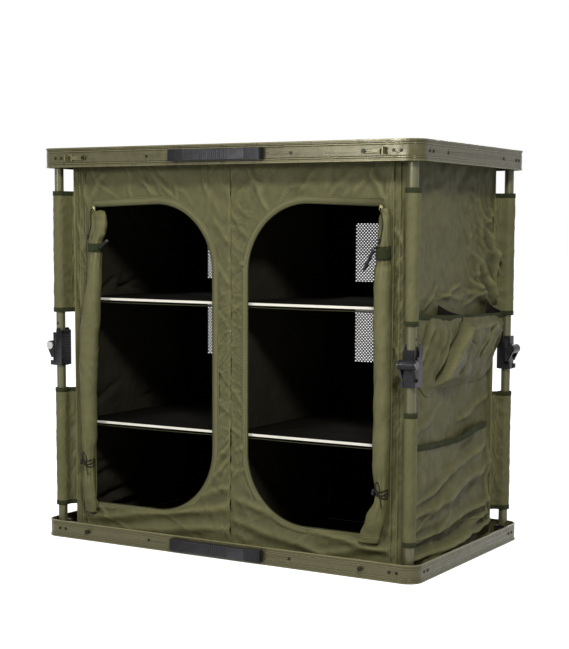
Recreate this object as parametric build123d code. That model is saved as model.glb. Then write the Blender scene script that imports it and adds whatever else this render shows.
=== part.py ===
from build123d import *
import math
import os

# A folding camping cupboard. Two shallow rimmed trays, one the base and one the table top, are joined by
# four legs that break at a knee half way up, so that the trays close on each other like a suitcase.
# A fabric cabinet with six compartments hangs between them.
# Frame: millimetres, +Z up, front is -Y, right is +X, origin at the middle of the base's underside.

os.makedirs("parts", exist_ok=True)

# Overall size when it stands open
WIDTH = 840.0
DEPTH = 480.0
HEIGHT = 780.0

# Tray rims and boards
BASE_RIM_HEIGHT = 34.0
TOP_RIM_HEIGHT = 38.0
CLOSED_GAP = 0.8
CORNER_RADIUS = 28.0
RIM_WALL = 2.0
LIP_PROUD = 1.2
LIP_HEIGHT = 3.0
EDGE_PROUD = 0.6
EDGE_HEIGHT = 2.4
LEDGE_WIDTH = 7.0
LEDGE_THICKNESS = 1.5
BOARD_THICKNESS = 5.0
GROOVE_DEPTH = 0.7
GROOVE_WIDTH = 1.5
GROOVE_PITCH = 3.2
GROOVES_EACH_SIDE = 2

# Rivets and screws in the rims
RIVET_HEAD_RADIUS = 3.0
RIVET_HEAD_HEIGHT = 1.4
RIVET_SHANK_RADIUS = 1.5
RIVET_TAIL_RADIUS = 2.4
RIVET_TAIL_HEIGHT = 1.2
RIVET_FROM_CORNER = 38.0
RIVET_SPACING = 15.0
FRONT_SCREW_FROM_CORNER = 260.0
SIDE_SCREW_FROM_CORNER = 114.0
FASTENER_DEPTH_IN_RIM = 20.0

# Legs
LEG_INSET = 26.0
TUBE_RADIUS = 9.0
TUBE_WALL = 1.2
FOOT_PLUG_LENGTH = 18.0
KNEE_OFFSET = 14.5
HINGE_PIN_RADIUS = 3.0
RUNNING_CLEARANCE = 0.06
OPEN_PIVOT_CLEARANCE = 0.3
LOOSE_GAP = 0.4

# Corner brackets that carry the legs
BRACKET_PLATE_HALF = 15.0
BRACKET_PLATE_THICKNESS = 3.0
BRACKET_CHEEK_THICKNESS = 3.8
BRACKET_CHEEK_GAP = 1.2
BRACKET_BACK_THICKNESS = 3.5
BRACKET_ABOVE_PIVOT = 10.0

# Knee knuckles and their sliding lock clips
KNUCKLE_INNER_WALL = 1.8
KNUCKLE_OUTER_WALL = 3.5
LOWER_KNUCKLE_HALF_WIDTH = 12.2
UPPER_KNUCKLE_HALF_WIDTH = 11.5
KNUCKLE_CORNER = 3.0
LOWER_KNUCKLE_LENGTH = 40.0
UPPER_KNUCKLE_LENGTH = 26.0
KNUCKLE_SOLID_LENGTH = 12.0
KNUCKLE_FACE_GAP = 0.3
EAR_RADIUS = 9.5
EAR_OUTER = 16.0
EAR_WEB_LENGTH = 24.0
PIN_HEAD_RADIUS = 7.5
PIN_HEAD_THICKNESS = 2.4
CLIP_WALL = 2.0
CLIP_SIDE_WALL = 2.8
CLIP_SIDE_DEPTH = 16.7
CLIP_BOTTOM_BELOW_KNEE = 39.0
CLIP_SHOULDER_ABOVE_KNEE = 14.0
CLIP_TIP_ABOVE_KNEE = 36.0
CLIP_PRONG_WIDTH = 9.0
CLIP_HOOK_HEIGHT = 9.0
CLIP_RIB_PROUD = 0.8
CLIP_RIB_HEIGHT = 1.6
CLIP_RIBS = 13
STOP_STUD_RADIUS = 2.2
STOP_STUD_PROUD = 1.6
STOP_STUD_ABOVE_KNEE = 45.0

# Carry handles on the front of both trays
HANDLE_LENGTH = 206.0
HANDLE_HEIGHT = 22.0
HANDLE_PROUD = 14.0
HANDLE_CAP_LENGTH = 34.0
HANDLE_CAP_WALL = 2.0
HANDLE_TONGUE_LENGTH = 24.0
HANDLE_TONGUE_THICKNESS = 3.0
HANDLE_RIBS = 14
HANDLE_RIB_WIDTH = 2.2
HANDLE_RIB_PITCH = 4.4
HANDLE_RIB_PROUD = 0.8
TOP_HANDLE_DROP = 20.0
BASE_HANDLE_RISE = 17.5

# Hook latches on the top tray and the studs that they catch on the base
LATCH_FROM_CORNER = 110.0
LATCH_DROP = 20.0
STUD_RISE = 18.0
LATCH_THICKNESS = 2.0
LATCH_WIDTH = 9.0
LATCH_HOOK_WIDTH = 13.0
LATCH_TAB_LENGTH = 7.0
LATCH_BOSS_RADIUS = 4.0
LATCH_PIVOT_RADIUS = 2.5
STUD_NECK_RADIUS = 2.4
STUD_HEAD_RADIUS = 4.5
STUD_HEAD_THICKNESS = 2.0
LATCH_NOTCH_CLEARANCE = 0.7

# Fabric cabinet
CABINET_INSET_X = 47.0
CABINET_INSET_Y = 48.0
FABRIC = 1.5
FABRIC_CLEARANCE = 0.3
DOOR_EDGE_INSET = 48.0
DOOR_INNER_X = 39.0
DOOR_TOP_DROP = 108.0
DOOR_BOTTOM_Z = 70.0
DOOR_INNER_RADIUS = 130.0
DOOR_OUTER_RADIUS = 6.0
ZIP_WIDTH = 9.0
ZIP_THICKNESS = 1.6

# Shelves
UPPER_SHELF_DROP = 295.0
LOWER_SHELF_Z = 236.0
SHELF_THICKNESS = 5.0
SHELF_SIDE_GAP = 1.5
SHELF_FRONT_GAP = 7.0
SHELF_BACK_GAP = 5.0

# Net windows in the cabinet's back
WINDOW_SIDE_MARGIN = 60.0
WINDOW_HEIGHT = 122.0
UPPER_WINDOW_ABOVE_SHELF = 91.0
LOWER_WINDOW_BELOW_SHELF = 77.0
NET_THICKNESS = 1.0
NET_COLUMNS = 12
NET_ROWS = 6
NET_STRAND = 3.0

# Doors rolled up and tied at the outer side of each opening
ROLL_OUTSIDE_DOOR = 1.0
ROLL_RADIUS = 16.5
ROLL_TOP_DROP = 21.0
ROLL_BELOW_DOOR = 10.0
UPPER_TIE_DROP = 86.0
UPPER_TIE_HEIGHT = 16.0
LOWER_TIE_RISE = 80.0
LOWER_TIE_HEIGHT = 7.0
TIE_THICKNESS = 1.2
TIED_HIGH = 0.80
TIED_LOW = 0.66
TOGGLE_RADIUS = 4.0
UPPER_TOGGLE_LENGTH = 22.0
LOWER_TOGGLE_LENGTH = 12.0

# Zip sliders and their cord pulls
SLIDER_INSIDE_DOOR = 3.0
SLIDER_DROP = 10.0
SLIDER_WIDTH = 8.0
SLIDER_HEIGHT = 11.0
SLIDER_DEPTH = 5.0
PULL_CORD_DIAMETER = 2.5
PULL_TIP_RADIUS = 2.6
PULL_TIP_LENGTH = 12.0

# Fabric sleeves round the legs, sewn to the cabinet's corners by a flap
SLEEVE_GAP = 0.5
SLEEVE_THICKNESS = 1.0
LOWER_SLEEVE_ABOVE_RIM = 28.0
LOWER_SLEEVE_BELOW_KNEE = 85.0
UPPER_SLEEVE_ABOVE_KNEE = 67.0
UPPER_SLEEVE_BELOW_RIM = 45.0
FLAP_THICKNESS = 1.2

# Pockets on the right-hand side panel
POCKET_MOUTH_ABOVE_KNEE = 80.0
POCKET_BOTTOM_BELOW_KNEE = 74.0
POCKET_MOUTH_DEPTH = 24.0
POCKET_BOTTOM_DEPTH = 5.0
POCKET_MOUTH_END_GAP = 1.0
POCKET_BOTTOM_END_GAP = 30.0
POCKET_DIVIDER_Y = 20.0
FLAT_POCKET_BELOW_KNEE = 156.0
FLAT_POCKET_ABOVE_RIM = 24.0
FLAT_POCKET_END_GAP = 32.0
FLAT_POCKET_DEPTH = 5.0

# Places worked out from the sizes above
RIM_INNER = LIP_PROUD + RIM_WALL
RIM_FACE_Y = -DEPTH / 2 + LIP_PROUD
FOOT_PIVOT_Z = BASE_RIM_HEIGHT - KNEE_OFFSET + CLOSED_GAP / 2
HEAD_PIVOT_Z = HEIGHT - TOP_RIM_HEIGHT + KNEE_OFFSET - CLOSED_GAP / 2
KNEE_Z = (FOOT_PIVOT_Z + HEAD_PIVOT_Z) / 2
TOP_BOARD_Z = HEIGHT - BOARD_THICKNESS
CABINET_X = WIDTH / 2 - CABINET_INSET_X
CABINET_Y = DEPTH / 2 - CABINET_INSET_Y
CABINET_BOTTOM_Z = BOARD_THICKNESS + FABRIC_CLEARANCE
CABINET_TOP_Z = TOP_BOARD_Z - FABRIC_CLEARANCE
LATCH_X = WIDTH / 2 - LATCH_FROM_CORNER
DOOR_OUTER_X = CABINET_X - DOOR_EDGE_INSET
DOOR_TOP_Z = HEIGHT - DOOR_TOP_DROP
UPPER_SHELF_Z = HEIGHT - UPPER_SHELF_DROP
WINDOW_WIDTH = CABINET_X - 2 * WINDOW_SIDE_MARGIN
UPPER_WINDOW_Z = UPPER_SHELF_Z + UPPER_WINDOW_ABOVE_SHELF
LOWER_WINDOW_Z = UPPER_SHELF_Z - LOWER_WINDOW_BELOW_SHELF
ROLL_X = DOOR_OUTER_X + ROLL_OUTSIDE_DOOR
ROLL_TOP_Z = DOOR_TOP_Z - ROLL_TOP_DROP
ROLL_BOTTOM_Z = DOOR_BOTTOM_Z - ROLL_BELOW_DOOR
UPPER_TIE_Z = DOOR_TOP_Z - UPPER_TIE_DROP
LOWER_TIE_Z = DOOR_BOTTOM_Z + LOWER_TIE_RISE
SLIDER_X = DOOR_OUTER_X - SLIDER_INSIDE_DOOR
SLIDER_Z = DOOR_TOP_Z - SLIDER_DROP
POCKET_MOUTH_Z = KNEE_Z + POCKET_MOUTH_ABOVE_KNEE
POCKET_BOTTOM_Z = KNEE_Z - POCKET_BOTTOM_BELOW_KNEE
POCKET_MOUTH_HALF = CABINET_Y - POCKET_MOUTH_END_GAP
POCKET_BOTTOM_HALF = CABINET_Y - POCKET_BOTTOM_END_GAP
FLAT_POCKET_TOP_Z = KNEE_Z - FLAT_POCKET_BELOW_KNEE
FLAT_POCKET_BOTTOM_Z = BASE_RIM_HEIGHT + FLAT_POCKET_ABOVE_RIM
FLAT_POCKET_HALF = CABINET_Y - FLAT_POCKET_END_GAP
LATCH_REACH = BASE_RIM_HEIGHT + TOP_RIM_HEIGHT + CLOSED_GAP - LATCH_DROP - STUD_RISE
CLIP_INNER_FACE = TUBE_RADIUS + KNUCKLE_INNER_WALL + LOOSE_GAP
CLIP_SIDE_INNER = LOWER_KNUCKLE_HALF_WIDTH + LOOSE_GAP
CLIP_SIDE_OUTER = CLIP_SIDE_INNER + CLIP_SIDE_WALL
HINGE_PIN_LENGTH = 2 * (TUBE_RADIUS + BRACKET_CHEEK_GAP + BRACKET_CHEEK_THICKNESS)

# Each leg's corner, and the turn that points its local +X away from the way it folds.
# Local +X and +Y both point at the tray's corner, and the hinge pins lie along local Y.
LEGS = {
    "front_left": (-1, -1, 180.0),
    "front_right": (1, -1, -90.0),
    "rear_right": (1, 1, 0.0),
    "rear_left": (-1, 1, 90.0),
}
SOLID_TOP_PIVOT = "front_left"
SLEEVE_SPANS = [
    (BASE_RIM_HEIGHT + LOWER_SLEEVE_ABOVE_RIM, KNEE_Z - LOWER_SLEEVE_BELOW_KNEE),
    (KNEE_Z + UPPER_SLEEVE_ABOVE_KNEE, HEIGHT - TOP_RIM_HEIGHT - UPPER_SLEEVE_BELOW_RIM),
]


def save(name, *shapes):
    """Write one node, made of every solid in the shapes."""
    solids = [solid for shape in shapes for solid in shape.solids()]
    export_step(solids[0] if len(solids) == 1 else Compound(children=solids), f"parts/{name}.step")


def block(x0, x1, y0, y1, z0, z1):
    """A box between two corners."""
    centre = Pos((x0 + x1) / 2, (y0 + y1) / 2, (z0 + z1) / 2)
    return centre * Box(abs(x1 - x0), abs(y1 - y0), abs(z1 - z0))


def post(radius, x, y, z0, z1):
    """An upright cylinder."""
    return Pos(x, y, (z0 + z1) / 2) * Cylinder(radius, z1 - z0)


def rod_y(radius, x, z, y0, y1):
    """A cylinder along Y."""
    return Pos(x, (y0 + y1) / 2, z) * Rot(90, 0, 0) * Cylinder(radius, y1 - y0)


def plate_xz(points, y0, y1):
    """A plate with the outline given as (x, z) points, from y0 to y1."""
    outline = Polyline(*[(x, y0, z) for x, z in points], close=True)
    return extrude(make_face(outline), amount=y1 - y0, dir=(0, 1, 0))


def at_leg(shape, leg):
    """Move a shape from a leg's local frame to its corner."""
    side_x, side_y, turn = LEGS[leg]
    return Pos(side_x * (WIDTH / 2 - LEG_INSET), side_y * (DEPTH / 2 - LEG_INSET), 0) * Rot(0, 0, turn) * shape


def rim_section(rim_height):
    """The rim's section as (distance inwards, distance from the closed side) points."""
    points = [(0, 0), (0, LIP_HEIGHT), (LIP_PROUD, LIP_HEIGHT)]
    low = [LIP_HEIGHT + GROOVE_PITCH * (i + 1) for i in range(GROOVES_EACH_SIDE)]
    high = [rim_height - EDGE_HEIGHT - GROOVE_PITCH * (GROOVES_EACH_SIDE - i) for i in range(GROOVES_EACH_SIDE)]
    for height in low + high:
        points.append((LIP_PROUD, height - GROOVE_WIDTH / 2))
        points.append((LIP_PROUD + GROOVE_DEPTH, height))
        points.append((LIP_PROUD, height + GROOVE_WIDTH / 2))
    points += [(LIP_PROUD, rim_height - EDGE_HEIGHT), (LIP_PROUD - EDGE_PROUD, rim_height - EDGE_HEIGHT)]
    points += [(LIP_PROUD - EDGE_PROUD, rim_height), (RIM_INNER, rim_height)]
    ledge_top = BOARD_THICKNESS + LEDGE_THICKNESS
    points += [(RIM_INNER, ledge_top), (RIM_INNER + LEDGE_WIDTH, ledge_top)]
    points += [(RIM_INNER + LEDGE_WIDTH, BOARD_THICKNESS), (RIM_INNER, BOARD_THICKNESS), (RIM_INNER, 0)]
    return points


def front_fastener_places():
    """X of the rivets near each end of a front or rear rail, and of the screws between them."""
    outer = WIDTH / 2 - RIVET_FROM_CORNER
    return [side * x for side in (-1, 1) for x in (outer, outer - RIVET_SPACING, WIDTH / 2 - FRONT_SCREW_FROM_CORNER)]


def side_fastener_places(with_screws):
    """Y of the rivets near each end of a side rail, and of the screws between them."""
    outer = DEPTH / 2 - RIVET_FROM_CORNER
    screw = DEPTH / 2 - SIDE_SCREW_FROM_CORNER
    places = [outer, outer - RIVET_SPACING] + ([screw] if with_screws else [])
    return [side * y for side in (-1, 1) for y in places]


def rivet():
    """A domed rivet through a rim's wall, pointing out along -Y from the wall's outer face at Y = 0."""
    head = rod_y(RIVET_HEAD_RADIUS, 0, 0, -RIVET_HEAD_HEIGHT, 0)
    head = fillet(head.edges().sort_by(Axis.Y)[:1], RIVET_HEAD_HEIGHT * 0.8)
    shank = rod_y(RIVET_SHANK_RADIUS, 0, 0, -RIVET_HEAD_HEIGHT / 2, RIM_WALL)
    tail = rod_y(RIVET_TAIL_RADIUS, 0, 0, RIM_WALL, RIM_WALL + RIVET_TAIL_HEIGHT)
    return head + shank + tail


def rivets_and_holes(z, with_side_screws):
    """Every rivet of one tray, and the holes that they pass through."""
    rivets = []
    holes = []
    hole = rod_y(RIVET_SHANK_RADIUS, 0, 0, -RIM_WALL, 2 * RIM_WALL)
    places = [(Pos(x, RIM_FACE_Y, z), 0.0) for x in front_fastener_places()]
    places += [(Pos(x, -RIM_FACE_Y, z), 180.0) for x in front_fastener_places()]
    side_face = WIDTH / 2 - LIP_PROUD
    places += [(Pos(side_face, y, z), 90.0) for y in side_fastener_places(with_side_screws)]
    places += [(Pos(-side_face, y, z), -90.0) for y in side_fastener_places(with_side_screws)]
    one_rivet = rivet()
    for place, turn in places:
        rivets.append(place * Rot(0, 0, turn) * one_rivet)
        holes.append(place * Rot(0, 0, turn) * hole)
    return rivets, holes


def tray(prefix, rim_height, closed_z, up, extra_holes, with_side_screws):
    """A tray's four rails, four corner pieces, board and rivets. up is 1 when the tray opens upwards."""
    section = rim_section(rim_height)
    half_x = WIDTH / 2 - CORNER_RADIUS
    half_y = DEPTH / 2 - CORNER_RADIUS

    def face(place):
        return make_face(Polyline(*[place(inward, closed_z + up * height) for inward, height in section], close=True))

    front = extrude(face(lambda a, z: (-half_x, -DEPTH / 2 + a, z)), amount=2 * half_x, dir=(1, 0, 0))
    left = extrude(face(lambda a, z: (-WIDTH / 2 + a, -half_y, z)), amount=2 * half_y, dir=(0, 1, 0))
    rear = Rot(0, 0, 180) * front
    right = Rot(0, 0, 180) * left

    rivet_z = closed_z + up * (FASTENER_DEPTH_IN_RIM if up < 0 else STUD_RISE)
    rivets, holes = rivets_and_holes(rivet_z, with_side_screws)
    rails = [rail - holes for rail in (front, rear, left, right)]
    rails[0] = rails[0] - extra_holes
    save(f"{prefix}_rim_rails", *rails)

    corners = []
    for side_x, side_y, start in ((1, 1, 0), (-1, 1, 90), (-1, -1, 180), (1, -1, 270)):
        centre = (side_x * half_x, side_y * half_y)
        angle = math.radians(start)
        outline = face(lambda a, z: (centre[0] + (CORNER_RADIUS - a) * math.cos(angle),
                                     centre[1] + (CORNER_RADIUS - a) * math.sin(angle), z))
        corners.append(revolve(outline, axis=Axis((centre[0], centre[1], 0), (0, 0, 1)), revolution_arc=90))
    save(f"{prefix}_rim_corners", *corners)

    board = RectangleRounded(WIDTH - 2 * RIM_INNER, DEPTH - 2 * RIM_INNER, CORNER_RADIUS - RIM_INNER)
    board_low = min(closed_z, closed_z + up * BOARD_THICKNESS)
    save(f"{prefix}_board", Pos(0, 0, board_low) * extrude(board, amount=BOARD_THICKNESS))
    return rivets


def leg_bracket(pivot_height):
    """A black corner bracket standing on a board at Z = 0, in a leg's local frame."""
    half = BRACKET_PLATE_HALF
    inner = TUBE_RADIUS + BRACKET_CHEEK_GAP
    outer = inner + BRACKET_CHEEK_THICKNESS
    top = pivot_height + BRACKET_ABOVE_PIVOT
    back = TUBE_RADIUS + 2 * BRACKET_CHEEK_GAP
    plate = block(-half, half, -outer, outer, 0, BRACKET_PLATE_THICKNESS)
    centre = LEG_INSET - CORNER_RADIUS
    ledge_radius = CORNER_RADIUS - RIM_INNER - LEDGE_WIDTH - LOOSE_GAP
    ledge_top = LEDGE_THICKNESS + LOOSE_GAP
    ledge_room = block(centre, half, centre, outer, 0, ledge_top) - post(ledge_radius, centre, centre, 0, ledge_top)
    outline = [(-half, 0), (half, 0), (half, pivot_height), (TUBE_RADIUS, top), (-TUBE_RADIUS, top),
               (-half, pivot_height - BRACKET_ABOVE_PIVOT / 2)]
    cheeks = plate_xz(outline, inner, outer) + plate_xz(outline, -outer, -inner)
    wall = block(back, min(back + BRACKET_BACK_THICKNESS, half), -outer, outer, 0, pivot_height)
    return plate + cheeks + wall - ledge_room - rod_y(HINGE_PIN_RADIUS, 0, pivot_height, -outer, outer)


def hinge_pin(z):
    """The pin that a leg turns on in its bracket."""
    return rod_y(HINGE_PIN_RADIUS, 0, z, -HINGE_PIN_LENGTH / 2, HINGE_PIN_LENGTH / 2)


def lower_tube():
    """A lower leg: its plugged, rounded foot turns on the base's pin."""
    top = KNEE_Z - KNUCKLE_SOLID_LENGTH
    tube = post(TUBE_RADIUS, 0, 0, FOOT_PIVOT_Z, top)
    tube -= post(TUBE_RADIUS - TUBE_WALL, 0, 0, FOOT_PIVOT_Z + FOOT_PLUG_LENGTH, top)
    foot = post(TUBE_RADIUS, 0, 0, FOOT_PIVOT_Z - TUBE_RADIUS, FOOT_PIVOT_Z)
    foot &= rod_y(TUBE_RADIUS, 0, FOOT_PIVOT_Z, -TUBE_RADIUS, TUBE_RADIUS)
    bore = rod_y(HINGE_PIN_RADIUS + RUNNING_CLEARANCE, 0, FOOT_PIVOT_Z, -TUBE_RADIUS, TUBE_RADIUS)
    return tube + foot - bore


def upper_tube(clearance):
    """An upper leg: its plugged, rounded head turns on the top tray's pin."""
    bottom = KNEE_Z + KNUCKLE_SOLID_LENGTH
    tube = post(TUBE_RADIUS, 0, 0, bottom, HEAD_PIVOT_Z)
    tube -= post(TUBE_RADIUS - TUBE_WALL, 0, 0, bottom, HEAD_PIVOT_Z - FOOT_PLUG_LENGTH)
    head = post(TUBE_RADIUS, 0, 0, HEAD_PIVOT_Z, HEAD_PIVOT_Z + TUBE_RADIUS)
    head &= rod_y(TUBE_RADIUS, 0, HEAD_PIVOT_Z, -TUBE_RADIUS, TUBE_RADIUS)
    bore = rod_y(HINGE_PIN_RADIUS + clearance, 0, HEAD_PIVOT_Z, -TUBE_RADIUS, TUBE_RADIUS)
    return tube + head - bore


def knuckle_block(half_width, z0, z1):
    """The rounded block that a knuckle is cut from."""
    inner = -TUBE_RADIUS - KNUCKLE_INNER_WALL
    outer = TUBE_RADIUS + KNUCKLE_OUTER_WALL
    outline = RectangleRounded(outer - inner, 2 * half_width, KNUCKLE_CORNER)
    return Pos((inner + outer) / 2, 0, z0) * extrude(outline, amount=z1 - z0)


def lower_knuckle():
    """The knee's lower half: a socket on the lower tube, with two ears that hold the knee pin."""
    half = LOWER_KNUCKLE_HALF_WIDTH
    ear_inner = half - KNUCKLE_FACE_GAP
    low = KNEE_Z - LOWER_KNUCKLE_LENGTH
    outer = TUBE_RADIUS + KNUCKLE_OUTER_WALL
    body = knuckle_block(half, low, KNEE_Z)
    web = [(KNEE_OFFSET - EAR_RADIUS, KNEE_Z), (KNEE_OFFSET - EAR_RADIUS, KNEE_Z - EAR_WEB_LENGTH),
           (outer, KNEE_Z - EAR_WEB_LENGTH), (KNEE_OFFSET + EAR_RADIUS, KNEE_Z)]
    for y0, y1 in ((ear_inner, EAR_OUTER), (-EAR_OUTER, -ear_inner)):
        body += plate_xz(web, y0, y1) + rod_y(EAR_RADIUS, KNEE_OFFSET, KNEE_Z, y0, y1)
    body -= rod_y(EAR_RADIUS + LOOSE_GAP, KNEE_OFFSET, KNEE_Z, -ear_inner, ear_inner)
    body -= post(TUBE_RADIUS, 0, 0, low, KNEE_Z - KNUCKLE_SOLID_LENGTH)
    return body - rod_y(HINGE_PIN_RADIUS, KNEE_OFFSET, KNEE_Z, -EAR_OUTER, EAR_OUTER)


def upper_knuckle():
    """The knee's upper half, with the lug that turns on the knee pin between the ears."""
    half = UPPER_KNUCKLE_HALF_WIDTH
    top = KNEE_Z + UPPER_KNUCKLE_LENGTH
    body = knuckle_block(half, KNEE_Z + KNUCKLE_FACE_GAP, top)
    body += rod_y(EAR_RADIUS, KNEE_OFFSET, KNEE_Z, -half, half)
    body -= post(TUBE_RADIUS, 0, 0, KNEE_Z + KNUCKLE_SOLID_LENGTH, top)
    return body - rod_y(HINGE_PIN_RADIUS + RUNNING_CLEARANCE, KNEE_OFFSET, KNEE_Z, -half, half)


def stop_stud():
    """The small round stud on the upper tube, above the clip's prongs."""
    stud = rod_y(STOP_STUD_RADIUS, 0, KNEE_Z + STOP_STUD_ABOVE_KNEE, 0, TUBE_RADIUS + STOP_STUD_PROUD)
    return stud - post(TUBE_RADIUS, 0, 0, KNEE_Z, HEAD_PIVOT_Z)


def knee_pin():
    """The knee's pivot pin with a flat round head at each end."""
    reach = EAR_OUTER + PIN_HEAD_THICKNESS
    pin = rod_y(HINGE_PIN_RADIUS, KNEE_OFFSET, KNEE_Z, -EAR_OUTER, EAR_OUTER)
    pin += rod_y(PIN_HEAD_RADIUS, KNEE_OFFSET, KNEE_Z, EAR_OUTER, reach)
    return pin + rod_y(PIN_HEAD_RADIUS, KNEE_OFFSET, KNEE_Z, -reach, -EAR_OUTER)


def lock_clip():
    """The U-shaped clip that slides down the lower knuckle to free the knee. It is open on the pin's side."""
    back = -CLIP_INNER_FACE - CLIP_WALL
    low = KNEE_Z - CLIP_BOTTOM_BELOW_KNEE
    shoulder = KNEE_Z + CLIP_SHOULDER_ABOVE_KNEE
    tip = KNEE_Z + CLIP_TIP_ABOVE_KNEE
    side_end = back + CLIP_SIDE_DEPTH
    hook_face = TUBE_RADIUS + KNUCKLE_OUTER_WALL + LOOSE_GAP
    hook_end = hook_face + CLIP_WALL
    prong = CLIP_PRONG_WIDTH / 2
    prong_x = (back + side_end) / 2
    clip = block(back, -CLIP_INNER_FACE, -CLIP_SIDE_OUTER, CLIP_SIDE_OUTER, low, tip - prong)
    for y0, y1 in ((CLIP_SIDE_INNER, CLIP_SIDE_OUTER), (-CLIP_SIDE_OUTER, -CLIP_SIDE_INNER)):
        clip += block(back, side_end, y0, y1, low, shoulder)
        clip += block(prong_x - prong, prong_x + prong, y0, y1, shoulder, tip - prong)
        clip += rod_y(prong, prong_x, tip - prong, y0, y1)
        clip += block(side_end, hook_end, y0, y1, low, low + CLIP_HOOK_HEIGHT)
    for y0, y1 in ((TUBE_RADIUS, CLIP_SIDE_OUTER), (-CLIP_SIDE_OUTER, -TUBE_RADIUS)):
        clip += block(hook_face, hook_end, y0, y1, low, low + CLIP_HOOK_HEIGHT)
    pitch = (tip - prong - low) / CLIP_RIBS
    for i in range(CLIP_RIBS):
        z = low + pitch * (i + 0.5)
        clip += block(back - CLIP_RIB_PROUD, back, -CLIP_SIDE_INNER, CLIP_SIDE_INNER, z - CLIP_RIB_HEIGHT / 2,
                      z + CLIP_RIB_HEIGHT / 2)
    return clip


def handle_caps(z):
    """The two hollow end caps that hold a carry handle, on the front rail."""
    half = HANDLE_LENGTH / 2
    front = RIM_FACE_Y - HANDLE_PROUD
    high = HANDLE_HEIGHT / 2
    inner_end = half - HANDLE_CAP_LENGTH
    cap = block(inner_end, half, front, RIM_FACE_Y, z - high, z + high)
    cap = fillet(cap.edges().filter_by(Axis.Z).sort_by(Axis.Y)[:2].sort_by(Axis.X)[-1:], HANDLE_CAP_WALL * 2)
    room = block(inner_end, half - HANDLE_CAP_WALL, front + HANDLE_CAP_WALL, RIM_FACE_Y,
                 z - high + HANDLE_CAP_WALL, z + high - HANDLE_CAP_WALL)
    right = cap - room
    return [right, mirror(right, about=Plane.YZ)]


def handle_grip(z):
    """The ribbed grip of a carry handle, whose end tongues travel forwards inside the caps."""
    inner_end = HANDLE_LENGTH / 2 - HANDLE_CAP_LENGTH
    bar_end = inner_end - LOOSE_GAP
    front = RIM_FACE_Y - HANDLE_PROUD
    back = RIM_FACE_Y - LOOSE_GAP
    high = HANDLE_HEIGHT / 2
    tongue_high = high - HANDLE_CAP_WALL - LOOSE_GAP
    grip = block(-bar_end, bar_end, front, back, z - high, z + high)
    grip = fillet(grip.edges().filter_by(Axis.X), HANDLE_CAP_WALL)
    tongue_end = inner_end + HANDLE_TONGUE_LENGTH
    grip += block(-tongue_end, tongue_end, back - HANDLE_TONGUE_THICKNESS, back, z - tongue_high, z + tongue_high)
    for i in range(HANDLE_RIBS):
        x = (i - (HANDLE_RIBS - 1) / 2) * HANDLE_RIB_PITCH
        grip += block(x - HANDLE_RIB_WIDTH / 2, x + HANDLE_RIB_WIDTH / 2, front - HANDLE_RIB_PROUD, front + 1,
                      z - tongue_high, z + tongue_high)
    return grip


def latch(side):
    """A hook latch lying level on the top tray's front, pointing to its own side. The hook's notch opens down."""
    front = -DEPTH / 2 - LOOSE_GAP - LATCH_THICKNESS
    back = -DEPTH / 2 - LOOSE_GAP
    z = HEIGHT - LATCH_DROP
    notch = STUD_NECK_RADIUS + LATCH_NOTCH_CLEARANCE
    half = LATCH_WIDTH / 2
    hook = LATCH_HOOK_WIDTH / 2
    end = LATCH_REACH + hook
    arm = block(0, LATCH_REACH, front, back, z - half, z + half) + rod_y(half, 0, z, front, back)
    arm += block(LATCH_REACH - hook, end, front, back, z - hook, z + hook)
    arm += block(end - LATCH_THICKNESS, end, front - LATCH_TAB_LENGTH, back, z - hook, z + hook)
    arm -= rod_y(notch, LATCH_REACH, z, front, back)
    arm -= block(LATCH_REACH - notch, LATCH_REACH + notch, front, back, z - hook, z)
    arm -= rod_y(LATCH_PIVOT_RADIUS + RUNNING_CLEARANCE, 0, z, front, back)
    right = Pos(LATCH_X, 0, 0) * arm
    return right if side > 0 else mirror(right, about=Plane.YZ)


def latch_pivot():
    """The headed pivot that holds a latch to the top tray's front rail."""
    z = HEIGHT - LATCH_DROP
    front = -DEPTH / 2 - 2 * LOOSE_GAP - LATCH_THICKNESS
    pivot = rod_y(LATCH_PIVOT_RADIUS, 0, z, front, RIM_FACE_Y + RIM_WALL)
    pivot += rod_y(LATCH_BOSS_RADIUS, 0, z, -DEPTH / 2, RIM_FACE_Y)
    pivot += rod_y(LATCH_BOSS_RADIUS, 0, z, front - RIVET_HEAD_HEIGHT, front)
    return pivot


def latch_stud():
    """The headed stud on the base's front rail that a latch hooks over when the trays are closed."""
    neck_end = -DEPTH / 2 - 2 * LOOSE_GAP - LATCH_THICKNESS
    stud = rod_y(STUD_NECK_RADIUS, 0, STUD_RISE, neck_end, RIM_FACE_Y + RIM_WALL)
    return stud + rod_y(STUD_HEAD_RADIUS, 0, STUD_RISE, neck_end - STUD_HEAD_THICKNESS, neck_end)


def door_opening(side, grow):
    """The outline of one D-shaped door opening, grown by a margin."""
    inner = DOOR_INNER_X - grow
    outer = DOOR_OUTER_X + grow
    low = DOOR_BOTTOM_Z - grow
    high = DOOR_TOP_Z + grow
    inner_radius = DOOR_INNER_RADIUS + grow
    outer_radius = DOOR_OUTER_RADIUS + grow
    base = Plane(origin=(0, 0, 0), x_dir=(side, 0, 0), z_dir=(0, -side, 0))
    outline = Polyline((inner, low), (outer, low), (outer, high), (inner, high), close=True)
    face = make_face(outline)
    face = fillet(face.vertices().sort_by(Axis.X)[:2], inner_radius)
    face = fillet(face.vertices().sort_by(Axis.X)[-2:], outer_radius)
    return base * face


def through_y(face, y0, y1):
    """Extrude a face that lies in the XZ plane, from y0 to y1."""
    return Pos(0, y0, 0) * extrude(face, amount=y1 - y0, dir=(0, 1, 0))


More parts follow.
